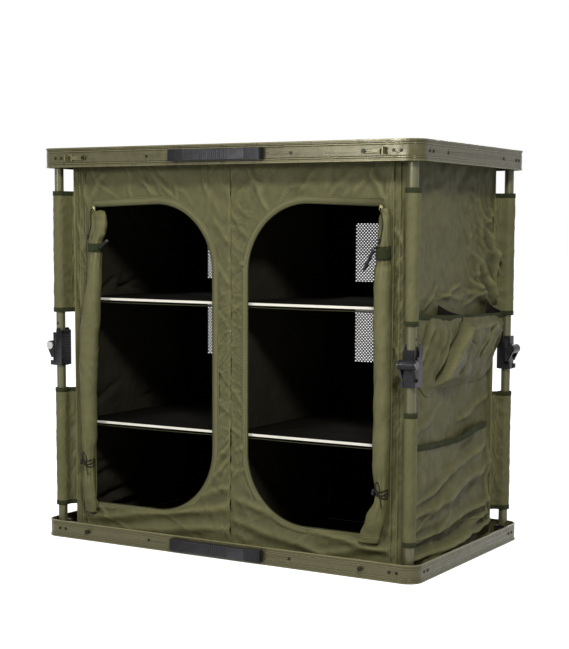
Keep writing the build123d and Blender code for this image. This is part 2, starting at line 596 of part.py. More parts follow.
def cabinet_front():
    """The cabinet's front panel with its two door openings."""
    panel = block(-CABINET_X, CABINET_X, -CABINET_Y, -CABINET_Y + FABRIC, CABINET_BOTTOM_Z, CABINET_TOP_Z)
    for side in (-1, 1):
        panel -= through_y(door_opening(side, 0), -CABINET_Y - FABRIC, -CABINET_Y + 2 * FABRIC)
    return panel


def zip_track(side):
    """One door's zip and its piping: round the top, inner side and bottom of the opening."""
    y0 = -CABINET_Y - ZIP_THICKNESS
    track = through_y(door_opening(side, ZIP_WIDTH), y0, -CABINET_Y)
    track -= through_y(door_opening(side, 0), y0 - 1, -CABINET_Y + 1)
    hinge = block(side * (DOOR_OUTER_X - DOOR_OUTER_RADIUS), side * (DOOR_OUTER_X + 2 * ZIP_WIDTH), y0 - 1,
                  -CABINET_Y + 1, DOOR_BOTTOM_Z - 2 * ZIP_WIDTH, DOOR_TOP_Z + 2 * ZIP_WIDTH)
    return track - hinge


def side_panel(side):
    """A side wall of the cabinet, between its front and back panels."""
    outer = side * CABINET_X
    inner = side * (CABINET_X - FABRIC)
    return block(outer, inner, -CABINET_Y + FABRIC, CABINET_Y - FABRIC, CABINET_BOTTOM_Z, CABINET_TOP_Z)


def window_places():
    """The centres of the four net windows in the back, as (x, z)."""
    return [(side * CABINET_X / 2, z) for side in (-1, 1) for z in (UPPER_WINDOW_Z, LOWER_WINDOW_Z)]


def cabinet_back():
    """The cabinet's back panel, with an opening for each net."""
    panel = block(-CABINET_X, CABINET_X, CABINET_Y - FABRIC, CABINET_Y, CABINET_BOTTOM_Z, CABINET_TOP_Z)
    for x, z in window_places():
        panel -= block(x - WINDOW_WIDTH / 2, x + WINDOW_WIDTH / 2, CABINET_Y - 2 * FABRIC, CABINET_Y + FABRIC,
                       z - WINDOW_HEIGHT / 2, z + WINDOW_HEIGHT / 2)
    return panel


def net():
    """One net window, drawn with coarse strands."""
    cell_x = (WINDOW_WIDTH - NET_STRAND) / NET_COLUMNS
    cell_z = (WINDOW_HEIGHT - NET_STRAND) / NET_ROWS
    holes = GridLocations(cell_x, cell_z, NET_COLUMNS, NET_ROWS)
    sheet = Rectangle(WINDOW_WIDTH, WINDOW_HEIGHT) - holes * Rectangle(cell_x - NET_STRAND, cell_z - NET_STRAND)
    return Rot(90, 0, 0) * extrude(sheet, amount=NET_THICKNESS)


def shelf_boards(z):
    """The two boards of one shelf level, either side of the cabinet's divider. z is their top."""
    inner = FABRIC / 2 + SHELF_SIDE_GAP
    outer = CABINET_X - FABRIC - SHELF_SIDE_GAP
    y0 = -CABINET_Y + FABRIC + SHELF_FRONT_GAP
    y1 = CABINET_Y - FABRIC - SHELF_BACK_GAP
    return [block(side * inner, side * outer, y0, y1, z - SHELF_THICKNESS, z) for side in (-1, 1)]


def roll_sections():
    """A rolled door's sections from the bottom up, as (z, shift towards the opening, half width, half depth)."""
    r = ROLL_RADIUS
    return [
        (ROLL_BOTTOM_Z, 0.5 * r, 1.15 * r, 0.60 * r),
        (ROLL_BOTTOM_Z + 40, 0.35 * r, 1.0 * r, 0.65 * r),
        (LOWER_TIE_Z - LOWER_TIE_HEIGHT, 0.0, TIED_LOW * r, TIED_LOW * r),
        (LOWER_TIE_Z + LOWER_TIE_HEIGHT, 0.0, TIED_LOW * r, TIED_LOW * r),
        (LOWER_TIE_Z + 40, 0.0, 0.97 * r, 0.94 * r),
        (KNEE_Z - 28.0, 0.0, r, r),
        (UPPER_TIE_Z - 40, 0.0, 0.97 * r, 0.95 * r),
        (UPPER_TIE_Z - UPPER_TIE_HEIGHT * 0.6, 0.0, TIED_HIGH * r, TIED_HIGH * r),
        (UPPER_TIE_Z + UPPER_TIE_HEIGHT * 0.6, 0.0, TIED_HIGH * r, TIED_HIGH * r),
        (ROLL_TOP_Z - 30, 0.0, 0.85 * r, 0.78 * r),
        (ROLL_TOP_Z, 0.0, 0.62 * r, 0.50 * r),
    ]


def roll_centre_y(half_depth):
    """The roll lies against the front panel's zip all the way up."""
    return -CABINET_Y - ZIP_THICKNESS - FABRIC_CLEARANCE - half_depth


def rolled_door(side):
    """One door, rolled up and tied at the outer side of its opening."""
    faces = []
    for z, shift, half_width, half_depth in roll_sections():
        centre = Pos(side * (ROLL_X - shift), roll_centre_y(half_depth), z)
        faces.append(centre * Ellipse(half_width, half_depth))
    return loft(faces, ruled=True)


def door_tie(side, z, height, share, toggle_length):
    """A tie round a rolled door, with its toggle on the side of the opening."""
    inner = share * ROLL_RADIUS + FABRIC_CLEARANCE
    y = roll_centre_y(share * ROLL_RADIUS)
    x = side * ROLL_X
    band = post(inner + TIE_THICKNESS, x, y, z - height / 2, z + height / 2)
    band -= post(inner, x, y, z - height, z + height)
    toggle_x = side * (ROLL_X - inner - TIE_THICKNESS - TOGGLE_RADIUS)
    toggle = post(TOGGLE_RADIUS, toggle_x, y, z - toggle_length / 2, z + toggle_length / 2)
    return [band, toggle]


def slider(side):
    """A zip slider at the top outer corner of an opening."""
    y1 = -CABINET_Y - ZIP_THICKNESS
    x = side * SLIDER_X
    body = block(x - SLIDER_WIDTH / 2, x + SLIDER_WIDTH / 2, y1 - SLIDER_DEPTH, y1, SLIDER_Z - SLIDER_HEIGHT / 2,
                 SLIDER_Z + SLIDER_HEIGHT / 2)
    return fillet(body.edges().filter_by(Axis.Y), SLIDER_WIDTH / 5)


# The pull cords hang from the sliders, in front of the rolled doors. Points from the slider to the tip.
PULL_START_Y = -CABINET_Y - ZIP_THICKNESS - SLIDER_DEPTH
LEFT_PULL_ROUTE = [
    (-SLIDER_X, PULL_START_Y, SLIDER_Z - 1.0),
    (-SLIDER_X + 3.0, PULL_START_Y - 13.5, SLIDER_Z - 1.0),
    (-SLIDER_X + 10.0, PULL_START_Y - 23.5, SLIDER_Z - 11.0),
    (-SLIDER_X + 14.5, PULL_START_Y - 28.5, SLIDER_Z - 24.0),
    (-SLIDER_X + 15.0, PULL_START_Y - 29.5, SLIDER_Z - 37.5),
    (-SLIDER_X + 11.5, PULL_START_Y - 29.0, SLIDER_Z - 51.0),
]
RIGHT_PULL_ROUTE = [
    (SLIDER_X, PULL_START_Y, SLIDER_Z - 1.0),
    (SLIDER_X + 3.5, PULL_START_Y - 13.5, SLIDER_Z - 1.0),
    (SLIDER_X + 11.0, PULL_START_Y - 23.5, SLIDER_Z - 11.5),
    (SLIDER_X + 17.0, PULL_START_Y - 29.0, SLIDER_Z - 25.0),
    (SLIDER_X + 18.0, PULL_START_Y - 30.5, SLIDER_Z - 39.5),
    (SLIDER_X + 15.0, PULL_START_Y - 30.0, SLIDER_Z - 54.0),
]


def corner_radii(route, name):
    """A cord's bend at each inner point: 0.45 of the shorter run over the tangent of half the turn."""
    points = [Vector(*point) for point in route]
    radii = []
    for before, here, after in zip(points, points[1:], points[2:]):
        run_in = here - before
        run_out = after - here
        half_turn = math.radians(run_in.get_angle(run_out)) / 2
        radii.append(0.45 * min(run_in.length, run_out.length) / math.tan(half_turn))
    print(name, "bend radii", [round(radius, 1) for radius in radii])
    return radii


def pull_cord(route, name):
    """The cord of a zip pull."""
    path = FilletPolyline(*route, radius=corner_radii(route, name))
    start = Plane(origin=route[0], z_dir=Vector(*route[1]) - Vector(*route[0]))
    cord = sweep(start * Circle(PULL_CORD_DIAMETER / 2), path=path)
    print(name, "length", round(path.length, 1), "volume over section times length",
          round(cord.volume / (math.pi * (PULL_CORD_DIAMETER / 2) ** 2 * path.length), 4))
    return cord


def pull_tip(route):
    """The moulded tip on the end of a pull cord."""
    end = Vector(*route[-1])
    along = (end - Vector(*route[-2])).normalized()
    middle = end + along * (PULL_TIP_LENGTH / 2)
    return Plane(origin=middle, z_dir=along) * Cylinder(PULL_TIP_RADIUS, PULL_TIP_LENGTH)


def sleeve(leg, z_range):
    """A fabric sleeve round a leg, with the flap that joins it to the cabinet's corner."""
    low, high = z_range
    side_x, side_y, _ = LEGS[leg]
    x = side_x * (WIDTH / 2 - LEG_INSET)
    y = side_y * (DEPTH / 2 - LEG_INSET)
    inner = TUBE_RADIUS + SLEEVE_GAP
    outer = inner + SLEEVE_THICKNESS
    to_x = side_x * CABINET_X - x
    to_y = side_y * CABINET_Y - y
    reach = math.hypot(to_x, to_y) - FABRIC_CLEARANCE
    flap = block(inner + SLEEVE_THICKNESS / 2, reach, -FLAP_THICKNESS / 2, FLAP_THICKNESS / 2, low, high)
    ring = post(outer, 0, 0, low, high) - post(inner, 0, 0, low - 1, high + 1)
    return Pos(x, y, 0) * Rot(0, 0, math.degrees(math.atan2(to_y, to_x))) * (ring + flap)


def gaping_pocket():
    """The upper side pocket: two wide mouths held open between the legs, tapering down to the side panel."""
    wall = CABINET_X + FABRIC_CLEARANCE

    def tapered(shrink, top, bottom):
        faces = []
        for z, depth, half in ((bottom, POCKET_BOTTOM_DEPTH, POCKET_BOTTOM_HALF),
                               (top, POCKET_MOUTH_DEPTH, POCKET_MOUTH_HALF)):
            outline = Rectangle(depth - 2 * shrink, 2 * (half - shrink))
            faces.append(Pos(wall + depth / 2, 0, z) * outline)
        return loft(faces, ruled=True)

    shell = tapered(0, POCKET_MOUTH_Z, POCKET_BOTTOM_Z)
    shell -= tapered(FABRIC, POCKET_MOUTH_Z + FABRIC, POCKET_BOTTOM_Z + FABRIC)
    y = POCKET_DIVIDER_Y
    divider = block(wall, wall + POCKET_MOUTH_DEPTH, y - FABRIC / 2, y + FABRIC / 2, POCKET_BOTTOM_Z, POCKET_MOUTH_Z)
    return shell + (divider & tapered(0, POCKET_MOUTH_Z, POCKET_BOTTOM_Z))


def flat_pocket():
    """The lower side pocket, flat against the side panel and open at the top."""
    wall = CABINET_X + FABRIC_CLEARANCE
    half = FLAT_POCKET_HALF
    shell = block(wall, wall + FLAT_POCKET_DEPTH, -half, half, FLAT_POCKET_BOTTOM_Z, FLAT_POCKET_TOP_Z)
    room = block(wall + FABRIC, wall + FLAT_POCKET_DEPTH - FABRIC, -half + FABRIC, half - FABRIC,
                 FLAT_POCKET_BOTTOM_Z + FABRIC, FLAT_POCKET_TOP_Z + FABRIC)
    return shell - room


# Trays
BASE_HANDLE_Z = BASE_HANDLE_RISE
TOP_HANDLE_Z = HEIGHT - TOP_HANDLE_DROP
studs = [Pos(side * LATCH_X, 0, 0) * latch_stud() for side in (-1, 1)]
stud_holes = [rod_y(STUD_NECK_RADIUS, side * LATCH_X, STUD_RISE, -DEPTH / 2, RIM_FACE_Y + 2 * RIM_WALL)
              for side in (-1, 1)]
pivots = [Pos(side * LATCH_X, 0, 0) * latch_pivot() for side in (-1, 1)]
pivot_holes = [rod_y(LATCH_PIVOT_RADIUS, side * LATCH_X, HEIGHT - LATCH_DROP, -DEPTH / 2, RIM_FACE_Y + 2 * RIM_WALL)
               for side in (-1, 1)]

base_rivets = tray("base", BASE_RIM_HEIGHT, 0.0, 1, stud_holes, False)
top_rivets = tray("top", TOP_RIM_HEIGHT, HEIGHT, -1, pivot_holes, True)
save("base_rivets", *base_rivets)
save("top_rivets", *top_rivets)
save("latch_studs", *studs)
save("latch_pivots", *pivots)
save("latch_left", latch(-1))
save("latch_right", latch(1))
save("base_handle_caps", *handle_caps(BASE_HANDLE_Z))
save("base_handle_grip", handle_grip(BASE_HANDLE_Z))
save("top_handle_caps", *handle_caps(TOP_HANDLE_Z))
save("top_handle_grip", handle_grip(TOP_HANDLE_Z))

# Brackets and hinge pins at both ends of the legs
base_bracket = Pos(0, 0, BOARD_THICKNESS) * leg_bracket(FOOT_PIVOT_Z - BOARD_THICKNESS)
top_bracket = Pos(0, 0, TOP_BOARD_Z) * mirror(leg_bracket(TOP_BOARD_Z - HEAD_PIVOT_Z), about=Plane.XY)
save("base_leg_brackets", *[at_leg(base_bracket, leg) for leg in LEGS])
save("top_leg_brackets", *[at_leg(top_bracket, leg) for leg in LEGS])
save("base_hinge_pins", *[at_leg(hinge_pin(FOOT_PIVOT_Z), leg) for leg in LEGS])
save("top_hinge_pins", *[at_leg(hinge_pin(HEAD_PIVOT_Z), leg) for leg in LEGS])

# Legs
for leg in LEGS:
    top_clearance = RUNNING_CLEARANCE if leg == SOLID_TOP_PIVOT else OPEN_PIVOT_CLEARANCE
    save(f"lower_tube_{leg}", at_leg(lower_tube(), leg))
    save(f"lower_knuckle_{leg}", at_leg(lower_knuckle(), leg))
    save(f"knee_pin_{leg}", at_leg(knee_pin(), leg))
    save(f"lock_clip_{leg}", at_leg(lock_clip(), leg))
    save(f"upper_tube_{leg}", at_leg(upper_tube(top_clearance), leg))
    save(f"upper_knuckle_{leg}", at_leg(upper_knuckle(), leg), at_leg(stop_stud(), leg))

# Fabric cabinet and its shelves
save("cabinet_front", cabinet_front())
save("cabinet_sides", side_panel(-1), side_panel(1))
save("cabinet_back", cabinet_back())
save("centre_divider", block(-FABRIC / 2, FABRIC / 2, -CABINET_Y + FABRIC, CABINET_Y - FABRIC, CABINET_BOTTOM_Z,
                             CABINET_TOP_Z))
one_net = net()
save("back_nets", *[Pos(x, CABINET_Y, z) * one_net for x, z in window_places()])
save("upper_shelf_boards", *shelf_boards(UPPER_SHELF_Z))
save("lower_shelf_boards", *shelf_boards(LOWER_SHELF_Z))
save("side_pockets", gaping_pocket(), flat_pocket())
save("corner_sleeves", *[sleeve(leg, z_range) for leg in LEGS for z_range in SLEEVE_SPANS])

# Doors, zips and pulls
save("zip_tracks", zip_track(-1), zip_track(1))
save("rolled_doors", rolled_door(-1), rolled_door(1))
ties = []
for side in (-1, 1):
    ties += door_tie(side, UPPER_TIE_Z, UPPER_TIE_HEIGHT, TIED_HIGH, UPPER_TOGGLE_LENGTH)
    ties += door_tie(side, LOWER_TIE_Z, LOWER_TIE_HEIGHT, TIED_LOW, LOWER_TOGGLE_LENGTH)
save("door_ties", *ties)
save("zip_sliders", slider(-1), slider(1))
save("zip_pull_left", pull_cord(LEFT_PULL_ROUTE, "left pull"))
save("zip_pull_right", pull_cord(RIGHT_PULL_ROUTE, "right pull"))
save("zip_pull_tips", pull_tip(LEFT_PULL_ROUTE), pull_tip(RIGHT_PULL_ROUTE))
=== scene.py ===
from math import acos, atan2, copysign, cos, dist, exp, hypot, pi, radians, sin, sqrt

import bpy
from mathutils import Matrix, Vector, noise
from numpy import linspace


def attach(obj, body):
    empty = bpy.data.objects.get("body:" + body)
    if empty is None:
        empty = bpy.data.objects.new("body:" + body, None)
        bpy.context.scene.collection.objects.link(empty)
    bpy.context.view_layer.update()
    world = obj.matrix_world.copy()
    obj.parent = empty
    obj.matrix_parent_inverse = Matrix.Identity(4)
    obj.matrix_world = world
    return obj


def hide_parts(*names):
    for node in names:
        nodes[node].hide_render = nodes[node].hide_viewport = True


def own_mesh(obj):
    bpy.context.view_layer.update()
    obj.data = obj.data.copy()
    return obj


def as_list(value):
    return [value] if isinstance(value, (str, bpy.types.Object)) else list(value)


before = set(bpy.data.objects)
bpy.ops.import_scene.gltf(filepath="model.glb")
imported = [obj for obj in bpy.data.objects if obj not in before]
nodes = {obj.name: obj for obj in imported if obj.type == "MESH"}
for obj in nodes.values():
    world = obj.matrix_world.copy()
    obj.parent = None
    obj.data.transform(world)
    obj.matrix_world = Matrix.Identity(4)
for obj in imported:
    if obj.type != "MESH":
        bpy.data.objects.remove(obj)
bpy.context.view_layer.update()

# Sizes in millimetres. The frame is in metres, so meshes are scaled as they are made.
MM = 0.001
CABINET_X, CABINET_Y = 373.0, 192.0
LOW, HIGH = 5.6, 774.4
DOOR_INNER, DOOR_OUTER, DOOR_LOW, DOOR_HIGH = 39.0, 325.0, 70.0, 672.0
DOOR_RADIUS, DOOR_SMALL_RADIUS = 130.0, 7.0
LEG_X, LEG_Y = 394.0, 214.0
UPPER_SHELF, LOWER_SHELF = 485.0, 236.0
PANEL_CLOTH, POCKET_CLOTH = 1.2, 1.1
PANEL_SEED = 21.0
PANEL_RAYS, PANEL_STEPS = 640, 26
SLIDER_X, SLIDER_Z = 322, 662
WINDOW_HEIGHTS = (576.0, 408.0)
WINDOW_HALF_X, WINDOW_HALF_Z = 126.5, 61.0
SHELF_INNER, SHELF_OUTER, SHELF_FRONT, SHELF_DEPTH = 2.4, 369.5, -182.5, 367.5
ROLL_GAP = 2.3
LOWER_TIE_Z, UPPER_TIE_Z = 152, 586
MOUTH_FRONT, MOUTH_LENGTH = -186, 386
POCKET_FOOT_FRONT, POCKET_FOOT_LENGTH, POCKET_FOOT_Z = -178, 309, 332
FLAT_FRONT, FLAT_LENGTH, FLAT_LOW, FLAT_HIGH = -160, 318, 60, 231
SIDE = {-1: "left", 1: "right"}
CORNERS = ((-1, -1), (1, -1), (1, 1), (-1, 1))


# Materials

def node_adder(tree):
    """Gives a function that adds a node. Sockets and values go to its inputs, in their order or by name."""
    def add(kind, *values, operation=None, **named):
        node = tree.nodes.new(f"ShaderNode{kind}")
        if operation:
            node.operation = operation
        inputs = list(enumerate(values)) + [(key.replace("_", " "), value) for key, value in named.items()]
        for key, value in inputs:
            if isinstance(value, bpy.types.NodeSocket):
                tree.links.new(value, node.inputs[key])
            else:
                node.inputs[key].default_value = value
        return node

    return add


def principled(name, color, roughness, metallic=0.0, vary=0.12, scale=14.0, rough_vary=0.1, grain=(900.0, 0.05),
               weave=0.0, crinkle=0.0, sheen=0.0, stretch=(1, 1, 1), specular=0.5, painted_shade_and_highlight=0.0, painted_light_bands=()):
    """A procedural material: mottled colour, uneven roughness, fine grain, for cloth a weave and soft crinkles, and
    optionally painted shade and painted highlight.
    """
    material = bpy.data.materials.new(name)
    material.use_nodes = True
    tree = material.node_tree
    bsdf = tree.nodes["Principled BSDF"]
    add = node_adder(tree)

    place = add("TexCoord").outputs["Object"]
    point = add("Mapping", Vector=place, Scale=stretch).outputs["Vector"]

    mottle = add("TexNoise", Vector=point, Scale=scale, Detail=6.0, Roughness=0.62)
    ramp = add("ValToRGB", mottle.outputs["Fac"])
    for stop, where, level in zip(ramp.color_ramp.elements, (0.28, 0.72), (1 - vary, 1 + vary)):
        stop.position = where
        stop.color = [min(1, c * level) for c in color] + [1]
    surface = ramp.outputs["Color"]
    # Painted shade and painted highlight by height: each band multiplies the colour, below 1 as painted shade in
    # grooves and above 1 as painted highlight on lips.
    if painted_light_bands:
        height = add("SeparateXYZ", place).outputs["Z"]
        across = add("MapRange", Value=height, From_Min=painted_light_bands[0][0], From_Max=painted_light_bands[-1][0])
        stops = add("ValToRGB", across.outputs["Result"])
        stops.color_ramp.interpolation = "CONSTANT"
        span = painted_light_bands[-1][0] - painted_light_bands[0][0]
        for k, (height, level) in enumerate(painted_light_bands[:-1]):
            share = (height - painted_light_bands[0][0]) / span
            stop = stops.color_ramp.elements[0] if k == 0 else stops.color_ramp.elements.new(share)
            stop.position, stop.color = share, (level, level, level, 1)
        stops.color_ramp.elements.remove(stops.color_ramp.elements[-1])
        surface = add("VectorMath", surface, stops.outputs["Color"], operation="MULTIPLY").outputs["Vector"]
    # Painted shade and painted highlight: the colour is darkened where the mesh is hollow (creases, grooves) and
    # lightened on ridges and edges. Above 1, only the edges are lightened, as painted highlight.
    if painted_shade_and_highlight:
        low, high = (0.51, 0.62) if painted_shade_and_highlight > 1 else (0.44, 0.56)
        level = add("MapRange", Value=add("NewGeometry").outputs["Pointiness"], From_Min=low, From_Max=high,
                    To_Min=1 - painted_shade_and_highlight if painted_shade_and_highlight < 1 else 1, To_Max=1 + painted_shade_and_highlight)
        surface = add("VectorMath", surface, operation="SCALE", Scale=level.outputs["Result"]).outputs["Vector"]
    tree.links.new(surface, bsdf.inputs["Base Color"])

    patch = add("TexNoise", Vector=point, Scale=scale * 2.3, Detail=4.0)
    spread = add("MapRange", Value=patch.outputs["Fac"], From_Min=0.3, From_Max=0.7,
                 To_Min=max(0.03, roughness - rough_vary), To_Max=min(1.0, roughness + rough_vary))
    tree.links.new(spread.outputs["Result"], bsdf.inputs["Roughness"])

    normal = None

    def bump(height, strength, distance):
        """Adds relief on top of what is there."""
        below = {"Normal": normal} if normal else {}
        return add("Bump", Strength=strength, Distance=distance, Height=height, **below).outputs["Normal"]

    if crinkle:
        warp = add("TexNoise", Vector=point, Scale=9.0, Detail=2.0)
        bent = add("VectorMath", warp.outputs["Color"], (0.05, 0.05, 0.05), point,
                   operation="MULTIPLY_ADD").outputs["Vector"]
        soft = add("TexNoise", Vector=bent, Scale=17.0, Detail=3.0, Roughness=0.55)
        normal = bump(soft.outputs["Fac"], crinkle, 0.009)
        for size, rise in ((30.0, 0.0032), (75.0, 0.0009)):
            facet = add("TexVoronoi")
            facet.feature = "SMOOTH_F1"
            facet.inputs["Scale"].default_value = size
            facet.inputs["Smoothness"].default_value = 0.7
            tree.links.new(bent, facet.inputs["Vector"])
            normal = bump(facet.outputs["Distance"], crinkle, rise)
    if weave:
        total = None
        for direction in ("X", "Y", "Z"):
            wave = add("TexWave", Vector=place, Scale=260.0, Distortion=0.4)
            wave.bands_direction = direction
            thread = wave.outputs["Fac"]
            total = add("Math", total, thread, operation="ADD").outputs["Value"] if total else thread
        normal = bump(total, weave, 0.0004)
    fine = add("TexNoise", Vector=point, Scale=grain[0], Detail=3.0)
    tree.links.new(bump(fine.outputs["Fac"], grain[1] * 4, 0.0006), bsdf.inputs["Normal"])
    bsdf.inputs["Metallic"].default_value = metallic
    bsdf.inputs["Specular IOR Level"].default_value = specular
    if sheen:
        bsdf.inputs["Sheen Weight"].default_value = sheen
        bsdf.inputs["Sheen Roughness"].default_value = 0.6
        bsdf.inputs["Sheen Tint"].default_value = [min(1, c * 4) for c in color] + [1]
    return material


# The cloth is darkened in its creases as painted shade and lightened on its ridges as painted highlight.
OLIVE = principled("olive_cloth", (0.0925, 0.0885, 0.037), 0.50, vary=0.14, scale=22.0, weave=0.4, crinkle=0.6,
                   sheen=0.02, specular=0.17, painted_shade_and_highlight=0.6)
HEM = principled("olive_hem", (0.102, 0.097, 0.044), 0.52, vary=0.10, scale=30.0, weave=0.4, crinkle=0.2, sheen=0.02,
                 specular=0.17, painted_shade_and_highlight=0.2)
LINING = principled("dark_lining", (0.005, 0.0045, 0.003), 0.9, vary=0.25, scale=9.0, weave=0.4, crinkle=0.3,
                    specular=0.05)
INNER = principled("inner_cloth", (0.018, 0.016, 0.010), 0.85, vary=0.2, scale=9.0, weave=0.4, crinkle=0.5,
                   specular=0.08)
BINDING = principled("binding_tape", (0.026, 0.030, 0.011), 0.75, vary=0.12, scale=60.0, weave=0.8, specular=0.15)
ZIP_TAPE = principled("zip_tape", (0.040, 0.040, 0.018), 0.7, vary=0.15, scale=80.0, weave=0.6, specular=0.15)
THREAD = principled("sewing_thread", (0.030, 0.031, 0.012), 0.7, vary=0.15, scale=300.0, specular=0.1)


def rim_paint(name, heights):
    """The trays' coating, with painted shade in the rim's grooves and painted highlight on its lips. heights are (z,
    level) from the bottom up: below 1 is painted shade, above 1 is painted highlight.
    """
    return principled(name, (0.080, 0.0725, 0.032), 0.30, metallic=0.25, vary=0.05, scale=30.0, grain=(1400.0, 0.008),
                      specular=0.36, painted_shade_and_highlight=0.3, painted_light_bands=[(z * MM, painted_level) for z, painted_level in heights])


# Dark bands are painted shade in the base rim's grooves. Bright bands are painted highlight on its lips and top edge.
BASE_RIM = rim_paint("base_rim_coating", (
    (-1, 1.15), (3.0, 0.65), (4.2, 1.0), (5.6, 0.75), (6.9, 1.1), (8.9, 0.75), (10.0, 1.0), (24.8, 0.75), (25.8, 1.1),
    (28.0, 0.7), (29.0, 0.95), (31.4, 0.6), (32.0, 1.7), (35, 1)))
# Dark bands are painted shade in the top rim's grooves. Bright bands are painted highlight on its lips.
TOP_RIM = rim_paint("top_rim_coating", (
    (741, 1.2), (744.4, 0.55), (745.2, 0.95), (747.0, 0.4), (748.2, 1.3), (750.2, 0.4), (751.4, 0.9), (769.9, 0.4),
    (771.2, 1.3), (773.1, 0.4), (774.5, 0.95), (775.9, 0.4), (777.0, 1.15), (781, 1)))
TUBE = principled("tube_coating", (0.092, 0.087, 0.039), 0.38, metallic=0.2, vary=0.05, scale=18.0,
                  grain=(1400.0, 0.008), stretch=(1, 1, 0.15))
BOARD = principled("dark_laminate", (0.020, 0.020, 0.016), 0.62, vary=0.15, scale=40.0, rough_vary=0.03,
                   grain=(900.0, 0.03), specular=0.12)
SHELF = principled("pale_board", (0.74, 0.71, 0.62), 0.5, vary=0.05, scale=30.0)
# Black plastic whose edges are lightened strongly as painted highlight.
PLASTIC = principled("black_plastic", (0.0045, 0.0045, 0.005), 0.26, vary=0.12, scale=50.0, grain=(1500.0, 0.05),
                     specular=0.12, painted_shade_and_highlight=12)
# The grip's rib edges are lightened as painted highlight.
GRIP = principled("grip_rubber", (0.011, 0.011, 0.012), 0.30, vary=0.12, scale=50.0, grain=(1800.0, 0.1), specular=0.18,
                  painted_shade_and_highlight=2.5)
PIN = principled("dark_pin", (0.07, 0.07, 0.07), 0.3, metallic=0.85, vary=0.08, scale=120.0)
STEEL = principled("plated_steel", (0.50, 0.49, 0.46), 0.30, metallic=0.9, vary=0.08, scale=120.0)
# The latch is darkened in its hollows as painted shade and lightened on its edges as painted highlight.
LATCH = principled("latch_coating", (0.088, 0.081, 0.037), 0.34, metallic=0.2, vary=0.05, scale=60.0,
                   grain=(1400.0, 0.01), specular=0.35, painted_shade_and_highlight=0.8)
DULL_STEEL = principled("dull_rivet", (0.020, 0.0175, 0.008), 0.24, vary=0.15, scale=200.0, specular=0.1)
ZIP_METAL = principled("zip_metal", (0.30, 0.27, 0.14), 0.32, metallic=0.8, vary=0.1, scale=200.0)
CORD = principled("braided_cord", (0.022, 0.021, 0.012), 0.8, vary=0.25, scale=600.0, weave=1.0, specular=0.2)
NET = principled("grey_net", (0.030, 0.029, 0.022), 0.75, vary=0.06, scale=100.0, specular=0.2)


# Mesh helpers

def make(name, points, faces, materials, smooth=True):
    """A mesh object from points in millimetres."""
    mesh = bpy.data.meshes.new(name)
    mesh.from_pydata([(x * MM, y * MM, z * MM) for x, y, z in points], [], faces)
    mesh.update()
    for material in materials if isinstance(materials, (list, tuple)) else [materials]:
        mesh.materials.append(material)
    if smooth:
        for polygon in mesh.polygons:
            polygon.use_smooth = True
    piece = bpy.data.objects.new(name, mesh)
    bpy.context.scene.collection.objects.link(piece)
    return piece


def grid_faces(count_u, count_v, wrap_u=False):
    """The corners of each face of a grid of count_u by count_v points."""
    for i in range(count_u if wrap_u else count_u - 1):
        for j in range(count_v - 1):
            a, b = i * count_v + j, (i + 1) % count_u * count_v + j
            yield a, b, b + 1, a + 1


def surface(name, count_u, count_v, place, materials, wrap_u=False):
    """A grid of count_u by count_v points. place(u, v) gives each point for u and v from 0 to 1."""
    points = [place(i / (count_u if wrap_u else count_u - 1), j / (count_v - 1))
              for i in range(count_u) for j in range(count_v)]
    return make(name, points, list(grid_faces(count_u, count_v, wrap_u)), materials)


def thicken(piece, thickness, offset=-1.0, inner_material=0):
    """Gives a sheet its thickness. The inner face can take the next material."""
    solid = piece.modifiers.new("thickness", "SOLIDIFY")
    solid.thickness = thickness * MM
    solid.offset = offset
    solid.material_offset = inner_material
    return piece


def fold_down(piece):
    """Attaches the piece to the base tray's body and gives it a mesh of its own."""
    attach(piece, "base_tray")
    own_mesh(piece)
    return piece


def fold_trim(piece):
    """Treats a roll, tie, sleeve, pocket or cord as fold_down does."""
    return fold_down(piece)


def ribbon(name, path, section, material, normals=(0, -1, 0), closed=False):
    """A closed section, as (across, out) points, carried along a path. normals give the out direction at each point."""
    path = [Vector(p) for p in path]
    count = len(path)
    points = []
    for i, p in enumerate(path):
        before = path[i - 1] if closed or i else p
        after = path[(i + 1) % count] if closed or i < count - 1 else p
        along = (after - before).normalized()
        out = Vector(normals[i] if isinstance(normals, list) else normals)
        out = (out - along * out.dot(along)).normalized()
        across = along.cross(out)
        points += [tuple(p + across * a + out * b) for a, b in section]
    n = len(section)
    faces = []
    for i in range(count if closed else count - 1):
        k = (i + 1) % count
        for j in range(n):
            faces.append((i * n + j, k * n + j, k * n + (j + 1) % n, i * n + (j + 1) % n))
    if not closed:
        faces.append(tuple(range(n - 1, -1, -1)))
        faces.append(tuple((count - 1) * n + j for j in range(n)))
    return make(name, points, faces, material)


def stitches(name, path, normals, material, pitch=5.5, length=3.6, half=0.42, lift=0.25):
    """A row of separate stitches along a path, each a small raised bar. normals are as in a ribbon."""
    path = [Vector(p) for p in path]
    points, faces = [], []
    walked, due = 0.0, pitch / 2
    for i, (a, b) in enumerate(zip(path, path[1:])):
        span = (b - a).length
        out = Vector(normals[i] if isinstance(normals, list) else normals)
        along = (b - a).normalized()
        out = (out - along * out.dot(along)).normalized()
        across = along.cross(out)
        while due <= walked + span:
            middle = a + along * (due - walked)
            k = len(points)
            for s, w, h in ((-1, 1, 0), (-1, -1, 0), (1, -1, 0), (1, 1, 0), (-0.7, 0.6, 1), (-0.7, -0.6, 1),
                            (0.7, -0.6, 1), (0.7, 0.6, 1)):
                points.append(tuple(middle + along * (s * length / 2) + across * (w * half) + out * (lift + h * half)))
            faces += [(k, k + 1, k + 2, k + 3), (k + 4, k + 7, k + 6, k + 5), (k, k + 4, k + 5, k + 1),
                      (k + 1, k + 5, k + 6, k + 2), (k + 2, k + 6, k + 7, k + 3), (k + 3, k + 7, k + 4, k)]
            due += pitch
        walked += span
    return make(name, points, faces, material)


